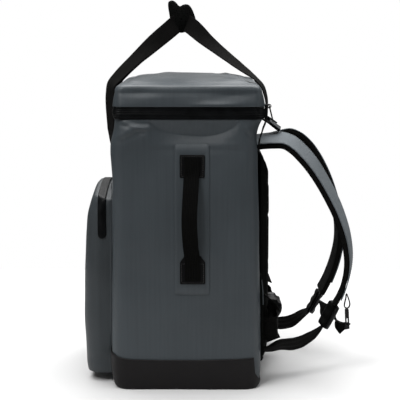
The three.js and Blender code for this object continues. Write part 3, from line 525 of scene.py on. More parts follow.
def strap_cloth(name, shade):
    """Plain-woven strap cover: a visible basket weave with lighter threads here and there."""
    finish = Finish(name, Specular_IOR_Level=0.2, Sheen_Weight=0.05, Sheen_Roughness=0.35)
    across, along, _ = finish.axes("UV")
    basket = across.wave(2.4) * along.wave(2.4)
    slub = finish.noise(420, 2, (1, 1, 0.15))
    cloud = finish.noise(16, 3)
    light = basket * 0.2 + slub * 0.5 + cloud * 0.4
    colour = finish.mix(light.rise(0.1, 0.85), tone(*shade, 0.76), tone(*shade, 1.25))
    finish.relief(basket * 0.5 + slub * 0.5, 0.0006, 0.7)
    return finish.done(colour, (slub - 0.5) * 0.2 + 0.62)


def spacer_mesh(name, dark, light):
    """Spacer mesh over foam: rows of small open cells, with painted shade inside them."""
    finish = Finish(name, Specular_IOR_Level=0.04)
    shaded_hole = finish.cells(300).rise(0.12, 0.42)
    fuzz = finish.noise(500, 2)
    # painted shade: each open cell is coloured darker towards its middle, as if shade fell into it
    colour = finish.mix(shaded_hole, tone(*light), tone(*dark))
    finish.relief(1 - shaded_hole + fuzz * 0.3, 0.0009, 0.8)
    return finish.done(colour, (fuzz - 0.5) * 0.1 + 0.88)


def smooth_rubber(name, shade):
    """Boot: a matt pebbled coat, with a patchy painted highlight that grows towards the floor."""
    finish = Finish(name, Specular_IOR_Level=0.18)
    _, _, z = finish.axes()
    pebble = finish.cells(620, "F1")
    cloud = finish.noise(14, 4)
    # painted highlight: patchy paler colour low on the boot, standing for light from the floor
    painted_foot_highlight = finish.noise(120, 5, (1, 1, 3)).rise(0.55, 0.8) * (1 - z.rise(2, 26))
    colour = finish.mix((cloud * 0.8 + painted_foot_highlight * 0.9).rise(0.15, 1.3), tone(*shade, 0.8),
                        tone(*shade, 1.9))
    finish.relief(pebble * 0.5 + cloud * 0.6, 0.0005, 0.5)
    return finish.done(colour, (cloud - 0.5) * 0.2 + painted_foot_highlight * 0.15 + 0.5)


def zip_cloth(name, shade, roughness=0.36):
    """Coated zip tape: nearly smooth, with a fine rib along it and faint wear."""
    finish = Finish(name, Specular_IOR_Level=0.10)
    _, along, _ = finish.axes("UV")
    tooth = along.wave(2.1)
    cloud = finish.noise(60, 4)
    colour = finish.mix(cloud.rise(0.3, 0.8), tone(*shade, 0.7), tone(*shade, 1.8))
    finish.relief(tooth * 0.2 + cloud, 0.0004, 0.4)
    return finish.done(colour, (cloud - 0.5) * 0.3 + roughness)


def moulded(name, shade, roughness=0.34):
    """Moulded plastic: fine spark texture, shinier and paler where it is rubbed."""
    finish = Finish(name, Specular_IOR_Level=0.18)
    spark = finish.noise(1600, 2)
    cloud = finish.noise(80, 3)
    colour = finish.mix(cloud.rise(0.3, 0.8), tone(*shade, 0.7), tone(*shade, 2.0))
    finish.relief(spark, 0.0002, 0.5)
    return finish.done(colour, (spark - 0.5) * 0.2 + (cloud - 0.5) * 0.15 + roughness)


def spun_thread(name, shade):
    """Sewing thread: twisted plies, a little lustrous."""
    finish = Finish(name, Specular_IOR_Level=0.3, Sheen_Weight=0.2)
    fuzz = finish.noise(2400, 2)
    finish.relief(fuzz, 0.0002, 0.5)
    return finish.done(finish.mix(fuzz, tone(*shade, 0.6), tone(*shade, 1.5)), fuzz * 0.2 + 0.5)


BODY_SHADE = (52, 58, 62)
GREY_COAT = coated_cloth("grey_coated_cloth", BODY_SHADE)
LID_COAT = coated_cloth("lid_coated_cloth", BODY_SHADE, 0.42)
POCKET_COAT = coated_cloth("pocket_coated_cloth", (42, 47, 50))
BLACK_COAT = coated_cloth("black_welded_patch", (6, 6, 7), 0.5, 0.08)
BLACK_WEB = woven_tape("black_webbing", (2, 2, 2), (10, 10, 9))
HANDLE_TAPE = woven_tape("carry_webbing", (5, 5, 5), (20, 19, 18))
STRAP_COVER = strap_cloth("strap_cover_cloth", (84, 90, 94))
WING_COVER = strap_cloth("wing_cover_cloth", (58, 63, 66))
TAB_COVER = strap_cloth("tab_cover_cloth", (40, 43, 45))
FOAM_MESH = spacer_mesh("spacer_mesh", (2, 2, 2), (12, 13, 12))
PAD_MESH = spacer_mesh("strap_foam_mesh", (3, 3, 3), (14, 14, 13))
BOOT_COAT = smooth_rubber("boot_rubber", (16, 14, 15))
ZIP_TAPE = zip_cloth("zip_tape", (5, 6, 7))
HARD_BLACK = moulded("hard_black", (8, 8, 9))
LOCK_BLACK = moulded("ladder_lock_black", (7, 7, 8), 0.4)
DARK_THREAD = spun_thread("dark_thread", (30, 30, 30))
GREY_THREAD = spun_thread("grey_thread", (86, 92, 96))


# ---------------------------------------------------------------- body, boot, zip and lid

def side_swell(z):
    """Gentle outward bow of the side between the foot and the zip."""
    return SIDE_BULGE * np.sin(math.pi * np.clip(z / BODY_TOP, 0, 1))


def side_relief(y, z):
    """Side face out of true: its bow, the tucked-in lens under the zip and the folds by it.

    The tuck deepens from the zip down to a curved crease and comes back out below it. In front
    of it the side stands a little fuller.
    """
    s = np.abs((y - 13) / 72)
    width = np.clip(1 - s ** 2.4, 0, 1) ** 0.55
    crease = BODY_TOP - 26 * np.clip(1 - s ** 3, 0, 1) ** 0.6 - 1.5 * np.sin(y / 17)
    above = np.clip((BODY_TOP - z) / np.maximum(BODY_TOP - crease, 1), 0, 1)
    tuck = np.where(z > crease, above ** 0.9, np.exp(-(np.maximum(crease - z, 0) / 13) ** 1.15))
    swell = side_swell(z) - 8.5 * width * tuck
    full = 3.2 * np.exp(-((y + 88) / 26) ** 2) * (1 - smooth(z, 431, BODY_TOP))
    full = full * smooth(z, 385, 425)
    folds = (fold(y, z, (-108, 442), (-64, 427), 3.2, 1.3)
             + fold(y, z, (-100, 436), (-52, 437), 3.5, -1.0)
             + fold(y, z, (-112, 414), (-72, 431), 5.0, 1.2)
             + fold(y, z, (92, 434), (112, 411), 4.0, 1.2)
             + fold(y, z, (-118, 340), (-104, 300), 7.0, 0.6)
             + fold(y, z, (-60, 402), (90, 402), 4.5, 0.5))
    fade = 1 - 0.6 * smooth(z, 300, 440)
    return swell + full + folds + ripple(y, z, 5, 150, 0.8) * fade + ripple(y, z, 8, 46, 0.2)


def body_skin(template, z, grow, relief=True):
    """Body's outer skin at heights z, one for each point: rounded rectangles from its levels."""
    level = eased(BODY_LEVELS, z / BODY_TOP)
    x, y = rings(template, HALF_WIDTH + grow, -level[..., 0] * HALF_DEPTH - grow,
                 level[..., 1] * HALF_DEPTH + grow, BODY_CORNER + grow, BODY_CORNER + grow)
    if relief:
        side = smooth(np.abs(x), HALF_WIDTH - BODY_CORNER, HALF_WIDTH - 1)
        x = x + np.sign(x) * side * side_relief(y, z)
        end = smooth(np.abs(template[3]), 0.7, 1.0)
        y = y + template[3] * end * ripple(x, z, 11, 120, 0.5)
    return np.stack([x, y, z + 0 * x], axis=-1)


def drawn_in(grid_row, share, z):
    """A ring drawn towards its middle by a share, at height z."""
    middle = grid_row.mean(axis=0)
    row = middle + (grid_row - middle) * share
    row[:, 2] = z
    return row


def body_grid():
    """Tub: out from the middle of its floor, up the skin, over the rim and down inside."""
    template = ring_template(92, 40, 12)
    foot = BOOT_FLOOR + GAP
    heights = np.concatenate([np.linspace(foot, 396, 112), np.linspace(397.3, BODY_TOP, 36)])
    skin = body_skin(template, heights[:, None] + 0 * template[:1], 0)
    inside = np.linspace(BODY_TOP, BOOT_FLOOR + BODY_WALL, 10)
    wall = body_skin(template, inside[:, None] + 0 * template[:1], -BODY_WALL, False)
    rows = [drawn_in(skin[0], share, foot) for share in (0.3, 0.7, 0.97)]
    rim = [skin[-1] + share * (wall[0] - skin[-1]) for share in (0.06, 0.5)]
    floor = [drawn_in(wall[-1], share, BOOT_FLOOR + BODY_WALL) for share in (0.6, 0.2)]
    return np.concatenate([rows, skin, rim, wall, floor])


def boot_grid():
    """Boot: the body's skin grown by its wall, up to an edge that dips along the side."""
    template = ring_template(150, 44, 14)
    _, y = rings(template, HALF_WIDTH, -HALF_DEPTH, HALF_DEPTH, BODY_CORNER, BODY_CORNER)
    edge = np.interp(y, BOOT_EDGE[:, 0], BOOT_EDGE[:, 1])
    share = np.concatenate([np.linspace(0, 0.94, 20), [0.985, 1.0]])[:, None]
    grow = np.concatenate([np.full(20, BOOT_WALL), [BOOT_WALL - 0.3, BOOT_WALL - 1.0]])[:, None]
    outer = body_skin(template, share * edge, grow)
    inner_share = np.linspace(1, 0, 7)[:, None]
    inner = body_skin(template, BOOT_FLOOR + inner_share * (edge - BOOT_FLOOR), 0.35)
    rows = [drawn_in(outer[0], s, 0.0) for s in (0.3, 0.7, 0.97)]
    floor = [drawn_in(inner[-1], s, BOOT_FLOOR) for s in (0.96, 0.4)]
    return np.concatenate([rows, outer, inner, floor])


def zip_grid():
    """Zip band: a ring whose outer face bows out round a closed coil line."""
    template = ring_template(110, 60, 10)
    share = np.linspace(0, 1, 25)
    level = eased(ZIP_LEVELS, share)[:, None]
    coil = np.abs(share - 0.5) * ZIP_HEIGHT
    lift = (0.7 * np.exp(-(coil / 2.6) ** 4) - 0.8 * np.exp(-(coil / 0.7) ** 2)
            - 0.5 * np.exp(-((coil - 6.4) / 0.7) ** 2) + 0.25)[:, None]
    x, y = rings(template, HALF_WIDTH + 1 + lift, -level[..., 0] * HALF_DEPTH - lift,
                 level[..., 1] * HALF_DEPTH + lift, LID_CORNER, LID_CORNER)
    z = (BODY_TOP + GAP + share * ZIP_HEIGHT)[:, None] + 0 * x
    z = z + 0.5 * np.sin(x / 43 + y / 31) * np.sin(math.pi * share)[:, None]
    outer = np.stack([x, y, z], -1)
    middle = outer.mean(axis=(0, 1)) * [1, 1, 0]
    inner = outer[::-6].copy()
    inner[..., :2] = middle[:2] + (inner[..., :2] - middle[:2]) * (1 - ZIP_DEPTH / 140)
    grid = np.concatenate([outer, inner])
    around = np.concatenate([[0], np.cumsum(np.hypot(*np.diff(outer[12, :, :2], axis=0).T))])
    place = np.stack([np.broadcast_to(np.linspace(0, 40, len(grid))[:, None], grid.shape[:2]),
                      np.broadcast_to(around, grid.shape[:2])], -1) * MM
    return grid, place


def lid_relief(y, z):
    """Lid's side: hollow under its top edge, fuller towards the zip, with one soft swelling."""
    low = 2.2 * (1 - smooth(z, 468, 490)) - 0.8 * np.exp(-((z - 490) / 6) ** 2)
    bump = 3.6 * np.exp(-((y - 50) / 30) ** 2 - ((z - 470) / 5) ** 2)
    hollow = 1.8 * np.exp(-((y - 75) / 28) ** 2 - ((z - 485) / 6) ** 2)
    return low + bump - hollow - 1.5 * np.exp(-((y + 74) / 28) ** 2 - ((z - 489) / 6) ** 2) \
        + ripple(y, z * 2, 21, 90, 0.35)


def lid_crown(x, y, share):
    """Lid's top: a low crown with pressed lines near its edges and a tuck at the back."""
    low = LID_CROWN * (1 - (1 - np.clip(share, 0, 1)) ** 2.5)
    line = 0.9 * np.exp(-((share - 0.09) / 0.035) ** 2)
    tuck = (fold(x, y, (-90, 60), (40, 78), 7, 1.5) + fold(x, y, (40, 80), (128, 118), 6, 1.7)
            + fold(x, y, (70, 60), (120, 96), 9, -0.8) + fold(x, y, (-110, -40), (60, -70), 14, 0.9))
    fade = smooth(share, 0.02, 0.2)
    return low - line + (tuck + ripple(x, y, 31, 130, 0.7)) * fade


def lid_grid():
    """Cap: down from its ceiling, round the rim, up its side and over the crowned top."""
    template = ring_template(110, 90, 9)
    share = np.concatenate([np.linspace(0, 0.86, 26), np.linspace(0.88, 1, 9)])
    level = eased(LID_LEVELS, share)[:, None]
    inset = level[..., 2]
    corner = LID_CORNER - 0.3 * inset
    x, y = rings(template, HALF_WIDTH - inset, -level[..., 0] * HALF_DEPTH + inset,
                 level[..., 1] * HALF_DEPTH - inset, corner, corner)
    z = (LID_BOTTOM + share * (LID_TOP - LID_BOTTOM))[:, None] + 0 * x
    push = lid_relief(y, z) * (1 - smooth(share, 0.85, 1.0))[:, None]
    _, _, dx, dy = template
    side = np.stack([x + dx * push * smooth(np.abs(dx), 0.5, 1),
                     y + dy * push * 0.7 * smooth(np.abs(dy), 0.5, 1), z], -1)
    rim = side[-1]
    centre = np.array([0, 4.0, 0])
    reach = np.concatenate([np.linspace(0.012, 0.2, 14), np.linspace(0.22, 0.98, 34)])
    crown = centre + (rim - centre) * (1 - reach)[:, None, None]
    crown[..., 2] = LID_TOP + lid_crown(crown[..., 0], crown[..., 1], reach[:, None])
    wall = rim.copy()
    wall[:, :2] *= 1 - LID_WALL / 130
    inside = [np.c_[wall[:, :2] * s, np.full(len(wall), h)] for s, h in
              ((0.3, LID_TOP - LID_WALL), (1, LID_TOP - LID_WALL), (1, LID_BOTTOM))]
    return np.concatenate([inside, side, crown])


tub = stand_in("body", [body_grid()], GREY_COAT)
stand_in("base_boot", [boot_grid()], BOOT_COAT)
stand_in("zip_band", [zip_grid()], ZIP_TAPE, loop=True)
lid = stand_in("lid", [lid_grid()], LID_COAT)


# ---------------------------------------------------------------- pocket

def pocket_level(share, grow):
    """Pocket's front and half width at shares of its height."""
    out = eased(POCKET_LEVELS, share)[..., 0]
    return -HALF_DEPTH - out * POCKET_DEPTH - grow, POCKET_HALF_WIDTH + grow - 4 * (1 - out)


def pocket_drop(share, x):
    """How far the arched top lies below its middle, at shares of the height and across it."""
    return POCKET_ARCH * smooth(share, 0.6, 1.0) * np.abs(x / POCKET_HALF_WIDTH) ** 1.6


def pocket_grid():
    """Pocket: rounded boxes that bulge low down, arched at the top, closed against the body."""
    template = ring_template(26, 84, 16)
    share = np.concatenate([np.linspace(0, 0.04, 6), np.linspace(0.05, 0.93, 90),
                            np.linspace(0.94, 1, 12)])
    z = POCKET_BOTTOM + share * (POCKET_TOP - POCKET_BOTTOM)
    front, half = pocket_level(share, 0)
    back = -eased(BODY_LEVELS, z / BODY_TOP)[:, 0] * HALF_DEPTH
    back = back - 0.6 - (BOOT_WALL + 0.1) * (1 - smooth(z, 60, 63))
    x, y = rings(template, half[:, None], front[:, None], back[:, None], POCKET_CORNER, 2.0)
    z = z[:, None] - pocket_drop(share[:, None], x)
    _, _, dx, dy = template
    loose = ripple(y * 2 + x, z, 41, 110, 0.8) + fold(y, z, (-165, 306), (-128, 297), 6, 0.9) \
        + fold(y, z, (-168, 40), (-130, 52), 8, 0.8)
    held = smooth(z, POCKET_BOTTOM, 40) * (1 - smooth(z, 290, 311)) * (y < back[:, None] - 4)
    push = loose * held
    side = np.stack([x + dx * push, y + dy * push, z], -1)
    low = [drawn_in(side[0], s, POCKET_BOTTOM) for s in (0.3, 0.7, 0.97)]
    top = []
    for reach, rise in ((0.97, 0.3), (0.7, 0.8), (0.3, 1.0)):
        row = drawn_in(side[-1], reach, 0)
        row[:, 2] = POCKET_TOP + rise - pocket_drop(1.0, row[:, 0])
        top.append(row)
    return np.concatenate([low, side, top])


def pocket_tape_grid():
    """Tape over the pocket's top and down to a rounded end on each side, one layer thick."""
    start, stop, width, low = -148.0, -134.0, 14.0, 246.0
    top = POCKET_TOP - POCKET_ARCH
    rise = np.concatenate([low + width / 2 * (1 - np.cos(np.linspace(0, math.pi / 2, 9))),
                           np.linspace(low + 9, top, 46)])
    tries = np.linspace(0.6, 1, 200)
    heights = POCKET_BOTTOM + tries * (POCKET_TOP - POCKET_BOTTOM)
    heights = heights - pocket_drop(tries, POCKET_HALF_WIDTH)
    share = np.interp(rise, heights, tries)
    over = np.linspace(1, -1, 62)[1:-1]
    half = np.full(len(rise), width / 2)
    half[:9] = np.sqrt(np.maximum((width / 2) ** 2 - (low + width / 2 - rise[:9]) ** 2, 0.05))
    column = np.linspace(-1, 1, 9)
    layers = []
    for grow in (GAP, GAP + 1.1):
        y = (start + stop) / 2 + half[:, None] * column
        front, wide = pocket_level(share, grow)
        reach = POCKET_CORNER + grow
        into = np.clip(front[:, None] + reach - y, 0, reach)
        x = wide[:, None] - reach + np.sqrt(reach ** 2 - into ** 2)
        z = rise[:, None] + 0 * x + (grow if grow > 1 else 0) * smooth(rise, 297, top)[:, None]
        side = np.stack([x, y, z], -1)
        across = over[:, None] * x[-1]
        bridge = np.stack([across, np.broadcast_to(y[-1], across.shape),
                           POCKET_TOP + 0.8 + grow - pocket_drop(1.0, across)], -1)
        side[-3:, :, 2] += 0.5
        layers.append(np.concatenate([side, bridge, mirrored(side[::-1])]))
    inner, outer = layers
    outer[:, 3:6, 0] += np.sign(outer[:, 3:6, 0]) * 0.5 * smooth(np.abs(outer[:, 3:6, 0]), 100, 112)
    grid = np.concatenate([outer, inner[:, ::-1]], axis=1)
    return grid, np.stack([grid[..., 1] + 141, grid[..., 2] + np.abs(grid[..., 0])], -1) * MM


pocket = stand_in("pocket", [pocket_grid()], POCKET_COAT)
stand_in("pocket_zip", [pocket_tape_grid()], ZIP_TAPE)


# ---------------------------------------------------------------- side handles

def patch_grid(low, high, corner, thickness, lift, taper=0.0):
    """Plate on the body's side: rounded rectangles from the middle of its inner face, round
    its rim, to the middle of its outer face, all laid on the side's relief.

    taper narrows its top edge, from taper below it.
    """
    template = ring_template(40, 16, 5)
    share = np.array([0.1, 0.5, 0.9, 1, 1, 1, 1, 0.9, 0.7, 0.5, 0.3, 0.1])
    inset = np.array([0, 0, 0, 0.4, 0, 0, 0.4, 0, 0, 0, 0, 0])
    out = np.array([0, 0, 0, 0, 0.3, 0.7, 1, 1, 1, 1, 1, 1]) * thickness
    middle, half = (low + high) / 2, (high - low) / 2
    size = half * share[:, None] - inset[:, None]
    y, z = rings(template, size[:, :1], -size[:, 1:], size[:, 1:], corner * share[:, None],
                 corner * share[:, None])
    y = y * (1 - 0.32 * smooth(z, half[1] - taper - 0.1, half[1]) * (taper > 0))
    y, z = y + middle[0], z + middle[1]
    x = HALF_WIDTH + side_relief(y, z) + lift + out[:, None]
    return np.stack([x, y, z], -1)


def handle_station(z, y, out):
    """Place and across direction of the side handle's webbing at a height."""
    return (HALF_WIDTH + side_swell(z) + 5.1 + out, y, z), (0, 1, 0)


SIDE_HANDLE = [
    handle_station(*row) for row in (
        (386.5, 9, 0), (372.5, 9, 0), (356.5, 8, 1), (330.5, 6.5, 12), (287.75, 4.5, 19),
        (245, 6.5, 13), (221, 9, 1.5), (201, 9.5, 0), (185, 9.5, 0),
    )
]
side_handle = band(SIDE_HANDLE, webbing(HANDLE_WEB), 120,
                   swell=lambda s, a, t: 0.5 * np.sin(s * 31) * np.sin(a / 5) * np.sin(math.pi * s))
grey_patch = patch_grid(np.array([-19.0, 161.0]), np.array([37.0, 407.5]), 5.0, 1.2, 0.35)
top_patch = patch_grid(np.array([-11.0, 353.5]), np.array([29.0, 390.5]), 2.0, 1.8, 1.9)
low_patch = patch_grid(np.array([-11.0, 179.0]), np.array([30.0, 226.0]), 2.0, 1.8, 1.9, 12.0)


def patch_seam(low, high, lift):
    """Stitches in a box inside a patch's rim."""
    y0, z0, y1, z1 = low[0], low[1], high[0], high[1]
    corners = np.array([(y0, z0), (y1, z0), (y1, z1), (y0, z1), (y0, z0)], float)
    share = np.linspace(0, 4, 81)
    y, z = (np.interp(share, np.arange(5), corners[:, k]) for k in range(2))
    path = np.stack([HALF_WIDTH + side_relief(y, z) + lift, y, z], -1)
    return threads(path, (1, 0, 0), 3.6, 2.6, 0.4)


for side, turn in SIDES:
    patch = stand_in(f"side_patch_{side}", [turn(grey_patch)], GREY_COAT)
    for place, grid, flat in (("top", top_patch, (0.040, 0.037)),
                              ("low", low_patch, (0.041, 0.047))):
        patch = stand_in(f"side_patch_{place}_{side}", [turn(grid)], BLACK_COAT)
    stand_in(f"side_handle_{side}", [turn(side_handle)], BLACK_WEB)
    seams = [patch_seam((-8.5, 356), (26.5, 388), 3.8), patch_seam((-8.5, 181.5), (27.5, 213), 3.8)]
    piece(f"side_patch_stitches_{side}", tube_mesh("stitches", [turn(s) for s in seams]),
          DARK_THREAD)


# ---------------------------------------------------------------- carry handles and grip

FRONT_LEG = [
    (74, -127.2, 396, 5, 90), (74, -127.6, 410, 14, 90), (74, -127.7, 424, 27, 90),
    (73, -128.5, 458, 33, 90), (72, -128.6, 482, 33, 88), (72, -126.2, 498, 34, 65),
    (71, -114.5, 512, 37, 48), (68, -88.5, 537.5, 44, 43), (65, -68.5, 555.5, 58, 43),
    (62, -50, 571.5, 74, 43), (59, -29, 589, 86, 43), (51, -16.5, 600, 90, 14),
    (36, -15, 602.5, 90, 12),
]
BACK_LEG = [
    (131, 116.8, 396, 2, 90), (129, 118.2, 410, 4, 90), (124, 123.5, 427, 6, 90),
    (116, 129.4, 443, 6, 90), (106, 131, 463, 9, 90), (99, 129.5, 480, 11, 84),
    (95, 124.5, 496, 11, 66), (91, 114, 508, 12, 50), (86, 91, 525.5, 22, 40), (79, 72, 540, 28, 40),
    (73, 50, 557, 40, 41), (69, 31.5, 572, 53, 42), (62, 9.5, 592, 80, 44), (51, -1.5, 600, 90, 14),
    (36, -3, 602.5, 90, 12),
]


def handle_stations(leg, face):
    """Stations of a carry handle: up its right leg, through the grip and down its left.

    The webbing turns by its twist from flat on the pack to upright in the grip, about a run
    that leans as the leg does.
    """
    rows = []
    for side in (1, -1):
        for x, y, z, twist, lean in leg[::side]:
            turn, slope = math.radians(twist), math.radians(lean)
            rows.append(((side * x, y, z), (side * math.cos(turn),
                                            -math.sin(turn) * face * math.sin(slope),
                                            -math.sin(turn) * math.cos(slope))))
    return rows


for name, leg, face in (("front", FRONT_LEG, -1), ("back", BACK_LEG, 1)):
    grid = band(handle_stations(leg, face), webbing(WEB), 320,
                swell=lambda s, a, t: 0.35 * np.sin(s * 57) * np.sin(a / 6))
    stand_in(f"carry_handle_{name}", [grid], HANDLE_TAPE)

GRIP_OUTLINE = [
    (-32, 628.9), (-31, 634.5), (-25, 636.8), (-20, 634.6), (-15, 629), (-11.7, 627.2), (-6.7, 629.7),
    (-1.7, 630.5), (3.3, 628.9), (8.3, 622.3), (11.6, 614.1), (13.8, 605.9), (11.6, 599), (4.9, 592),
    (-1.8, 585.5), (-8.4, 583.2), (-15.1, 584), (-22.5, 588), (-27, 598), (-30, 614),
]


def closed_curve(points, count):
    """Smooth closed outline through a few points, evenly read."""
    flat = np.array([(0, y, z) for y, z in points + points[:1]], float)
    doubled = np.vstack([flat[-3:-1], flat, flat[1:3]])
    shares = (np.arange(count) / count * (len(flat) - 1) + 2) / (len(doubled) - 1)
    outline = course(doubled, shares)[0][:, 1:]
    run = np.concatenate([[0], np.cumsum(np.hypot(*np.diff(outline, axis=0).T))])
    even = np.linspace(0, run[-1], count, endpoint=False)
    return np.stack([np.interp(even, run, outline[:, k]) for k in range(2)], -1)


def grip_grid():
    """Padded wrap: its outline along the pack's width, fuller in the middle and rounded over
    at both ends."""
    outline = closed_curve(GRIP_OUTLINE, 120)
    middle = outline.mean(axis=0)
    x = np.concatenate([[-55, -54.8, -54], np.linspace(-52.5, 52.5, 60), [54, 54.8, 55]])
    size = 1 - 0.02 * (np.abs(x) / 55) ** 6 + 0.008 * np.sin(x / 4.6) * (1 - (x / 55) ** 4) \
        - 0.14 * smooth(np.abs(x), 52, 55.4) ** 2
    shape = middle + (outline - middle) * size[:, None, None]
    return np.concatenate([np.broadcast_to(x[:, None, None], (len(x), 120, 1)), shape], -1)


grip = stand_in("handle_grip", [grip_grid()], FOAM_MESH)


# ---------------------------------------------------------------- back pad

def swollen(mesh, voxel, pressure, cap, pinned):
    """Cushion blown up a little from a closed shell.

    The shell is remeshed to even voxels and put under Cloth pressure for 20 frames. Points where
    pinned is true stay, and no point moves further than cap millimetres.
    """
    made = bpy.data.objects.new("cushion", mesh)
    bpy.context.scene.collection.objects.link(made)
    remesh = made.modifiers.new("voxels", "REMESH")
    remesh.mode = "VOXEL"
    remesh.voxel_size = voxel * MM
    bpy.context.view_layer.update()
    even = bpy.data.meshes.new_from_object(made.evaluated_get(bpy.context.evaluated_depsgraph_get()))
    made.modifiers.clear()
    made.data = even
    start = np.empty(len(even.vertices) * 3, np.float32)
    even.vertices.foreach_get("co", start)
    start = start.reshape(-1, 3)
    moved = start
    group = made.vertex_groups.new(name="held")
    group.add(np.nonzero(pinned(start / MM))[0].tolist(), 1.0, "ADD")
    cloth = made.modifiers.new("cloth", "CLOTH")
    cloth.settings.quality = 5
    cloth.settings.use_pressure = True
    cloth.settings.uniform_pressure_force = pressure
    cloth.settings.vertex_group_mass = "held"
    cloth.settings.effector_weights.gravity = 0
    cloth.collision_settings.use_collision = False
    scene = bpy.context.scene
    for step in range(1, 21):
        scene.frame_set(step)
    shaped = made.evaluated_get(bpy.context.evaluated_depsgraph_get()).data
    moved = np.empty(len(start) * 3, np.float32)
    shaped.vertices.foreach_get("co", moved)
    moved = moved.reshape(-1, 3)
    push = moved - start
    reach = np.linalg.norm(push, axis=1, keepdims=True)
    moved = start + push * np.minimum(1, cap * MM / np.maximum(reach, 1e-9))
    made.modifiers.clear()
    scene.frame_set(1)
    even.vertices.foreach_set("co", moved.ravel())
    fine = made.modifiers.new("finer", "SUBSURF")
    fine.levels = fine.render_levels = 1
    bpy.context.view_layer.update()
    final = bpy.data.meshes.new_from_object(made.evaluated_get(bpy.context.evaluated_depsgraph_get()))
    bpy.data.objects.remove(made)
    final.polygons.foreach_set("use_smooth", np.ones(len(final.polygons), bool))
    return final


def reshaped(mesh, change):
    """The mesh with its points, in millimetres, passed through a function."""
    points = np.empty(len(mesh.vertices) * 3, np.float32)
    mesh.vertices.foreach_get("co", points)
    points = change(points.reshape(-1, 3).astype(float) / MM) * MM
    mesh.vertices.foreach_set("co", points.astype(np.float32).ravel())
    mesh.update()
    return mesh


def back_pad_shell():
    """Shell of the back pad: rounded rectangles that step in over its edge."""
    template = ring_template(60, 36, 10)
    inset = np.array([40, 12, 0.5, 0.5, 1.2, 3.0, 6.0, 10.0, 30, 60])
    depth = np.array([0, 0, 0, 4, 7.5, 9.6, 10.8, 11.4, 11.8, 12.0])
    x, z = rings(template, (PAD_HALF_WIDTH - inset)[:, None], (PAD_BOTTOM + inset)[:, None],
                 (PAD_TOP - inset)[:, None], np.maximum(26 - inset, 2)[:, None],
                 np.maximum(40 - inset, 2)[:, None])
    y = HALF_DEPTH + 0.9 + depth[:, None] + 0 * x
    return np.stack([x, y, z], -1)


def sewn_channels(points):
    """Grooves of the back pad: an oval spine channel, two slanting ribs each side, a rim line."""
    x, y, z = points.T
    face = smooth(y, HALF_DEPTH + 4, HALF_DEPTH + 9)
    across = np.abs(x)
    spine = np.exp(-((across - 24 - 6 * np.cos((z - 210) / 60)) / 3.0) ** 2)
    ribs = sum(np.exp(-((z - at - 0.18 * across) / 3.0) ** 2) * smooth(across, 30, 40)
               * (1 - smooth(across, 82, 94)) for at in (105, 185, 265))
    edge = np.minimum(PAD_HALF_WIDTH - across, np.minimum(PAD_TOP - z, z - PAD_BOTTOM))
    rim = np.exp(-((edge - 11) / 1.8) ** 2)
    middle = 1 - smooth(across, 14, 26)
    cut = np.maximum(np.maximum(spine, ribs), rim * 0.8) * 3.6 + middle * 2.5 * smooth(edge, 6, 20)
    y = y - face * np.minimum(cut, 5.0)
    return np.stack([x, y, z], -1)


back_pad_mesh = swollen(tube_mesh("back_pad_shell", [back_pad_shell()]), 4.5, 4.0, 5.0,
                        lambda p: p[:, 1] < HALF_DEPTH + 3)
back_pad_mesh = reshaped(back_pad_mesh, lambda p: np.stack(
    [p[:, 0], np.clip(p[:, 1], HALF_DEPTH + 0.6, None), p[:, 2]], -1))
back_pad = piece("back_pad", reshaped(back_pad_mesh, sewn_channels), FOAM_MESH,
                 ["back_pad"])


# ---------------------------------------------------------------- shoulder straps

# Middle line of each strap: Y, Z and its outward turn in degrees
RIGHT_STRAP = [
    (112, 400.5, 9), (125.5, 402.5, 9), (142.2, 404, 10), (160.6, 404.1, 12), (176, 397.3, 15),
    (192.6, 382.4, 16), (209.6, 362.2, 16), (225, 338.6, 15), (240.6, 310.6, 14.5),
    (254.5, 280.9, 13.5), (267, 243.2, 12.5), (272.4, 208.8, 11.5), (271.4, 184.7, 11),
    (265.9, 158.8, 11), (257.7, 138, 11), (251.9, 127.7, 11),
]
LEFT_STRAP = [
    (112, 393, 6), (134.1, 395, 6), (148.6, 397.3, 6), (161.3, 400.3, 6), (172.1, 402.6, 7),
    (183, 403.5, 8), (199, 396.6, 8), (215.2, 382.6, 7), (227.3, 367, 6), (236.7, 352.3, 5),
    (250, 325.6, 4), (261.7, 294.1, 3), (270.6, 262.4, 1), (275.8, 232.4, 0), (276.4, 204.2, 0),
    (273.2, 181.5, 0), (265.5, 153, 0), (255.8, 128.2, 0), (246, 109, 0),
]
# Loose webbing: X, Y, Z and its turn from sideways to upright in degrees
RIGHT_LOWER = [
    (86, 232, 89.5, -11), (89, 223, 81, 2), (92, 211.2, 72.2, 16), (96, 192.2, 62.7, 26),
    (102, 176.3, 60.5, 27), (110, 162.1, 61.5, 20), (119, 151, 61, 8), (127, 141, 60, 0),
    (131, 133, 60, 0), (131, 127.4, 60, 0),
]
LEFT_LOWER = [
    (86, 226, 70.5, 0), (90, 213, 62, -18), (94, 192.8, 47.3, -38), (99, 174.6, 42.2, -40),
    (107, 160.5, 42, -28), (117, 150, 46, -12), (126, 141, 50, 0), (131, 133, 53, 0),
    (131, 127.4, 54, 0),
]
RIGHT_TAIL = [(83, 251.9, 102.5, -11), (84, 257.1, 95.3, 14), (84, 262.7, 88.3, 52),
              (84, 270.5, 81.5, 74)]
LEFT_TAIL = [(86, 244, 84.8, 0), (88, 248.7, 77.4, 26), (89, 255.2, 69.5, 56), (90, 264.2, 61, 76)]
LIFTER = [(52, 114, 443, 0), (52, 126, 439.5, -2), (52, 136, 434.5, -6), (52, 146, 427.5, -10),
          (52, 156, 420.2, -12)]
LIFTER_TAB = [(52, 140, 435.6, -8), (52, 146, 431.4, -10), (52, 152, 427.1, -11),
              (52, 157.8, 422.8, -12)]


def run_at(table, index):
    """Unit direction of a row of [.., out, up] points at one of them."""
    before, after = table[max(index - 1, 0)], table[min(index + 1, len(table) - 1)]
    run = np.subtract(after, before)
    return run / np.linalg.norm(run)


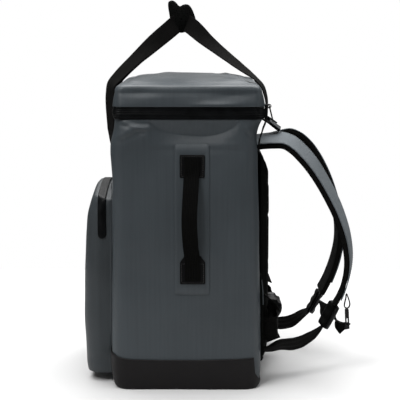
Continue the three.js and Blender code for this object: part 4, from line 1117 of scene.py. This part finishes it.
def strap_stations(table, side):
    """Stations of a shoulder strap: its middle line, tilted to face a little outwards."""
    line = [row[:2] for row in table]
    rows = []
    for index, (out, up, tilt) in enumerate(table):
        run, turn = run_at(line, index), math.radians(tilt)
        x = STRAP_ROOT_X + index / (len(table) - 1) * (STRAP_END_X - STRAP_ROOT_X)
        rows.append(((side * x, out, up), (math.cos(turn), side * math.sin(turn) * run[1],
                                           -side * math.sin(turn) * run[0])))
    return rows


def loose_stations(table, side):
    """Stations of loose webbing: its roll turns the width from sideways to upright."""
    line = [row[1:3] for row in table]
    rows = []
    for index, (x, out, up, roll) in enumerate(table):
        run, turn = run_at(line, index), math.radians(roll)
        rows.append(((side * x, out, up), (side * math.cos(turn), -math.sin(turn) * run[1],
                                           math.sin(turn) * run[0])))
    return rows


def strap_seam(stations, at, lift, first, last):
    """Stitches along a strap, at a place across it, on its outer face."""
    shares = np.linspace(first, last, 240)
    places, _, across, through = carried(stations, shares)
    return threads(places + across * at + through * lift, -through, 4.0, 2.9, 0.42)


def lock_grid(table, side):
    """Ladder lock at a strap's end: a frame, two crossbars and the webbing turned round them.

    Worked out flat, across and along its length, then turned as the strap's end hangs.
    """
    template = ring_template(12, 12, 5)
    angle = np.arange(10) * 2 * math.pi / 10
    cx, cz = rings(template, 19.5, -19.5, 19.5, 7.0, 7.0)
    _, _, dx, dz = template
    out = 3.2 * np.cos(angle)[:, None]
    frame_ring = np.stack([cx + out * dx, 0 * cx + 3.4 * np.sin(angle)[:, None],
                           cz + out * dz], -1)
    x = np.linspace(-18.5, 18.5, 9)[:, None]
    bars = []
    for at, thick, wide in ((-6.5, 2.8, 3.0), (8.5, 3.2, 3.6)):
        bars.append(np.stack([x + 0 * angle, thick * np.sin(angle) + 0 * x,
                              at + wide * np.cos(angle) + 0 * x], -1))
    fall = math.radians(63)
    end = table[-1]

    def place(grid):
        tilt = side * math.radians(end[2])
        a, b = grid[..., 0], grid[..., 1]
        a, b = a * math.cos(tilt) - b * math.sin(tilt), a * math.sin(tilt) + b * math.cos(tilt)
        turn = fall - math.pi / 2
        c = grid[..., 2]
        b, c = b * math.cos(turn) - c * math.sin(turn), b * math.sin(turn) + c * math.cos(turn)
        return np.stack([a + side * STRAP_END_X, b + end[0] - 22.6 * math.cos(fall),
                         c + end[1] - 22.6 * math.sin(fall)], -1)
    along = np.linspace(-22, 20, 48)[:, None]
    a, b = strap_section(31.0, 12.0, 4.0)
    turned = np.stack([a + 0 * along, b * (1 + 0.12 * np.cos(along / 2.6)), along + 0 * a], -1)
    return place(np.swapaxes(frame_ring, 0, 1)), [place(bar) for bar in bars], place(turned)


PAD_SECTION = strap_section(STRAP_WIDTH, STRAP_THICK, 3.2, 14)
FACE_LIFT = -(STRAP_THICK / 2 + 2 * GAP + STRAP_FACE_THICK / 2)
FACE_SECTION = strap_section(STRAP_WIDTH - 1.0, STRAP_FACE_THICK, 0.7, 14, FACE_LIFT)


def pad_swell(share, across, through):
    """Foam fuller between its two sewn edges, pressed along them."""
    edge = np.exp(-((np.abs(across) - 29) / 1.6) ** 2)
    return np.where(through > 0, 1, 0) * (0.5 - 1.1 * edge)


def lower_ridges(share, across, through):
    """Three soft ridges along a lower strap, gone at both of its ends."""
    return 0.7 * np.cos(across * 2 * math.pi / 9) * np.sin(math.pi * share)


for side, name, strap, lower, tail in (
    (1, "right", RIGHT_STRAP, RIGHT_LOWER, RIGHT_TAIL),
    (-1, "left", LEFT_STRAP, LEFT_LOWER, LEFT_TAIL),
):
    stations = strap_stations(strap, side)
    pad = stand_in(f"shoulder_pad_{name}", [band(stations, PAD_SECTION, 220, swell=pad_swell)],
                   PAD_MESH)
    cover = stand_in(f"shoulder_face_{name}", [band(stations, FACE_SECTION, 220, last=28 / 30)],
                     STRAP_COVER)
    rows = [strap_seam(stations, at, FACE_LIFT - 0.9, 0.03, 0.925) for at in (-29, 29)]
    piece(f"shoulder_stitches_{name}", tube_mesh("stitches", rows), GREY_THREAD)
    ring, bars, turned = lock_grid(strap, side)
    stand_in(f"ladder_lock_{name}", [ring], LOCK_BLACK, loop=True)
    piece(f"ladder_bars_{name}", tube_mesh("bars", bars), LOCK_BLACK)
    piece(f"ladder_webbing_{name}", tube_mesh("turned", [turned]), BLACK_WEB)
    for part, table, section, steps, swell, finish, slot in (
        ("lower_strap", lower, webbing(WEB), 150, lower_ridges, BLACK_WEB, "webbing"),
        ("strap_tail", tail, webbing(WEB), 40, None, BLACK_WEB, "webbing"),
        ("load_lifter", LIFTER, webbing(SLIM_WEB), 60, None, BLACK_WEB, "webbing"),
        ("lifter_tab", LIFTER_TAB, webbing(SLIM_WEB), 40, None, TAB_COVER, "strap_fabric"),
    ):
        grid = band(loose_stations(table, side), section, steps, swell=swell)
        stand_in(f"{part}_{name}", [grid], finish)


# ---------------------------------------------------------------- waist belt

def wing_grid():
    """Belt wing: a narrow padded strip on the pack's back corner, rounded along its free edge."""
    template = ring_template(60, 8, 4)
    share = np.array([0.2, 0.8, 0.94, 1, 1, 0.94, 0.8, 0.5, 0.2])
    x = np.array([0, 0, 0.4, 1.8, 11.2, 12.6, 13, 13, 13]) + 125.0
    y, z = rings(template, 4.2 * share[:, None], -73 * share[:, None], 73 * share[:, None],
                 4.0 * share[:, None], 4.0 * share[:, None])
    lean = smooth(z, 45, 73) * 4 + (1 - smooth(z, -73, -60)) * 2
    return np.stack([np.broadcast_to(x[:, None], y.shape), y + 122.8 - lean, z + 117], -1)


def belt_stations():
    """The belt's right half from its wing to the buckle."""
    return [((x, y, z), (0, 0, 1)) for x, y, z in (
        (129.5, 127.4, 94), (127.5, 139, 94), (119, 149, 93.5), (98, 153, 93), (68, 153.5, 93),
        (30, 153.5, 93),
    )]


BELT_STAY = [((132.8, 127.4, 156), (1, 0, 0)), ((127, 135, 148), (1, 0.2, 0)),
             ((115, 144, 136), (1, 0.4, 0)), ((100, 150, 122), (0.9, 0.4, 0))]
belt_half = band(belt_stations(), webbing(BELT_WEB), 90,
                 swell=lambda s, a, t: 0.9 * np.sin(s * 19) * np.cos(a / 9))
belt_stay = band(BELT_STAY, webbing(SLIM_WEB), 40)
PIPING = [((137.5, 123.4, 180), (1, 0, 0)), ((138, 125.6, 160), (1, 0, 0)),
          ((138, 126.2, 138), (1, 0, 0))]
piping = band(PIPING, strap_section(2.0, 2.0, 0.95, 2), 40)
for name, turn in SIDES:
    wing = stand_in(f"belt_wing_{name}", [turn(wing_grid())], FOAM_MESH)
    piece(f"wing_piping_{name}", tube_mesh("piping", [turn(piping)]), WING_COVER)
    stand_in(f"waist_belt_{name}", [turn(belt_half)], BLACK_WEB)
    stand_in(f"belt_stay_{name}", [turn(belt_stay)], BLACK_WEB)

BUCKLE_OUTLINE = [
    (136, 58), (135, 90), (135.5, 112), (140, 118.6), (156, 118.8), (159.6, 113.5), (165, 111.5),
    (165.5, 98), (161.5, 90), (157.5, 83), (157.5, 60), (155, 48), (142, 47),
]


def buckle_grid():
    """Side-release buckle: its outline along the belt, waisted at the joint, rounded at the ends."""
    outline = closed_curve(BUCKLE_OUTLINE, 64)
    middle = outline.mean(axis=0)
    x = np.concatenate([[-30, -29.6, -28.5], np.linspace(-27, 27, 40), [28.5, 29.6, 30]])
    size = 1 - 0.10 * np.exp(-((x - 4) / 1.2) ** 2) - 0.12 * np.exp(-((x + 12) / 5) ** 2) \
        - 0.5 * smooth(np.abs(x), 26, 31)
    rows = middle + (outline - middle) * size[:, None, None]
    return np.concatenate([np.broadcast_to(x[:, None, None], (len(x), 64, 1)), rows], -1)


stand_in("belt_buckle", [buckle_grid()], HARD_BLACK)
BELT_TAIL = [((-36, 149, 45.6), (0.25, 0.97, 0)), ((-40, 150, 38), (0.15, 0.98, 0)),
             ((-42, 152, 32), (0, 1, 0)), ((-43, 155, 25), (0, 1, 0))]
stand_in("belt_tail", [band(BELT_TAIL, webbing(30.0), 40)], BLACK_WEB)

LOOP_LINE = [
    (269, 147.5), (272.3, 140), (274.9, 129.5), (273, 124.2), (269.8, 122.8), (266.6, 124.5),
    (265.8, 129), (267.8, 139.5),
]


def loop_grid():
    """Gear loop: narrow webbing carried round a closed line, its width along X."""
    line = closed_curve(LOOP_LINE, 96)
    ahead = np.roll(line, -1, axis=0) - np.roll(line, 1, axis=0)
    ahead /= np.linalg.norm(ahead, axis=1)[:, None]
    a, t = strap_section(4.0, WEB_THICK, WEB_ROUNDING, 3)
    return np.stack([102 + a + 0 * line[:, :1], line[:, :1] + ahead[:, 1:] * t,
                     line[:, 1:] - ahead[:, :1] * t], -1)


stand_in("gear_loop", [loop_grid()], BLACK_WEB, loop=True)

for node in ("zip_slider", "zip_pull", "pocket_slider", "gear_clip"):
    for holder in NODES[node].material_slots:
        holder.material = HARD_BLACK
    weld = NODES[node].modifiers.new("weld", "WELD")
    weld.merge_threshold = 0.00002
    bevel = NODES[node].modifiers.new("bevel", "BEVEL")
    bevel.width = 0.0003
    bevel.segments = 2
    bevel.limit_method = "ANGLE"


# ---------------------------------------------------------------- floor, light and camera

def stage_floor():
    """Wide flat floor, its shade even."""
    mesh = bpy.data.meshes.new("studio_floor")
    reach = 0.75
    mesh.from_pydata([(-reach, -reach, 0), (reach, -reach, 0), (reach, reach, 0), (-reach, reach, 0)],
                     [], [(0, 1, 2, 3)])
    made = bpy.data.objects.new("studio_floor", mesh)
    bpy.context.scene.collection.objects.link(made)
    finish = Finish("studio_floor", Specular_IOR_Level=0.0, Roughness=1.0)
    mesh.materials.append(finish.done((0.50, 0.50, 0.50, 1.0)))


def lamp(name, kind, place, aim, energy, **settings):
    """One studio light, turned from its place towards its aim."""
    data = bpy.data.lights.new(name, kind)
    data.energy = energy
    for key, value in settings.items():
        setattr(data, key, value)
    made = bpy.data.objects.new(name, data)
    made.location = place
    made.rotation_euler = (Vector(aim) - Vector(place)).to_track_quat("-Z", "Y").to_euler()
    bpy.context.scene.collection.objects.link(made)


def studio():
    """Even light from above, a softbox each side, and a white surround that the camera sees."""
    lamp("overhead", "SUN", (-1.1, 0.3, 4), (0, 0, 0), 6.8, angle=math.radians(74))
    lamp("front_box", "AREA", (0.9, -1.7, 0.9), (0, 0, 0.3), 3, shape="RECTANGLE", size=0.9,
         size_y=1.6)
    lamp("rear_box", "AREA", (0.9, 1.9, 0.9), (0, 0.1, 0.3), 4, shape="RECTANGLE", size=0.9,
         size_y=1.6)
    lamp("key_box", "AREA", (1.4, -0.9, 1.9), (0, 0, 0.4), 30, shape="RECTANGLE", size=0.8,
         size_y=0.8)
    lamp("far_box", "AREA", (-2.6, 0, 1.3), (0, 0, 0.5), 7, shape="RECTANGLE", size=3.2, size_y=1.2)
    world = bpy.data.worlds.new("surround")
    world.use_nodes = True
    tree = world.node_tree
    tree.nodes.clear()
    path = tree.nodes.new("ShaderNodeLightPath")
    dim, white = (tree.nodes.new("ShaderNodeBackground") for _ in range(2))
    dim.inputs["Strength"].default_value = 0.10
    white.inputs["Strength"].default_value = 1.0
    for shade in (dim, white):
        shade.inputs["Color"].default_value = (1, 1, 1, 1)
    choose, out = tree.nodes.new("ShaderNodeMixShader"), tree.nodes.new("ShaderNodeOutputWorld")
    tree.links.new(path.outputs["Is Camera Ray"], choose.inputs[0])
    tree.links.new(dim.outputs[0], choose.inputs[1])
    tree.links.new(white.outputs[0], choose.inputs[2])
    tree.links.new(choose.outputs[0], out.inputs[0])
    bpy.context.scene.world = world


def camera():
    """Camera at the photograph's place, looking along -X and a little down."""
    data = bpy.data.cameras.new("camera")
    data.lens = CAMERA_LENS
    data.sensor_width = 36.0
    made = bpy.data.objects.new("camera", data)
    made.location = CAMERA_PLACE
    made.rotation_euler = (math.pi / 2 - CAMERA_DOWN, 0, math.pi / 2)
    bpy.context.scene.collection.objects.link(made)
    bpy.context.scene.camera = made


stage_floor()
studio()
camera()
bpy.context.scene.view_settings.view_transform = "Standard"
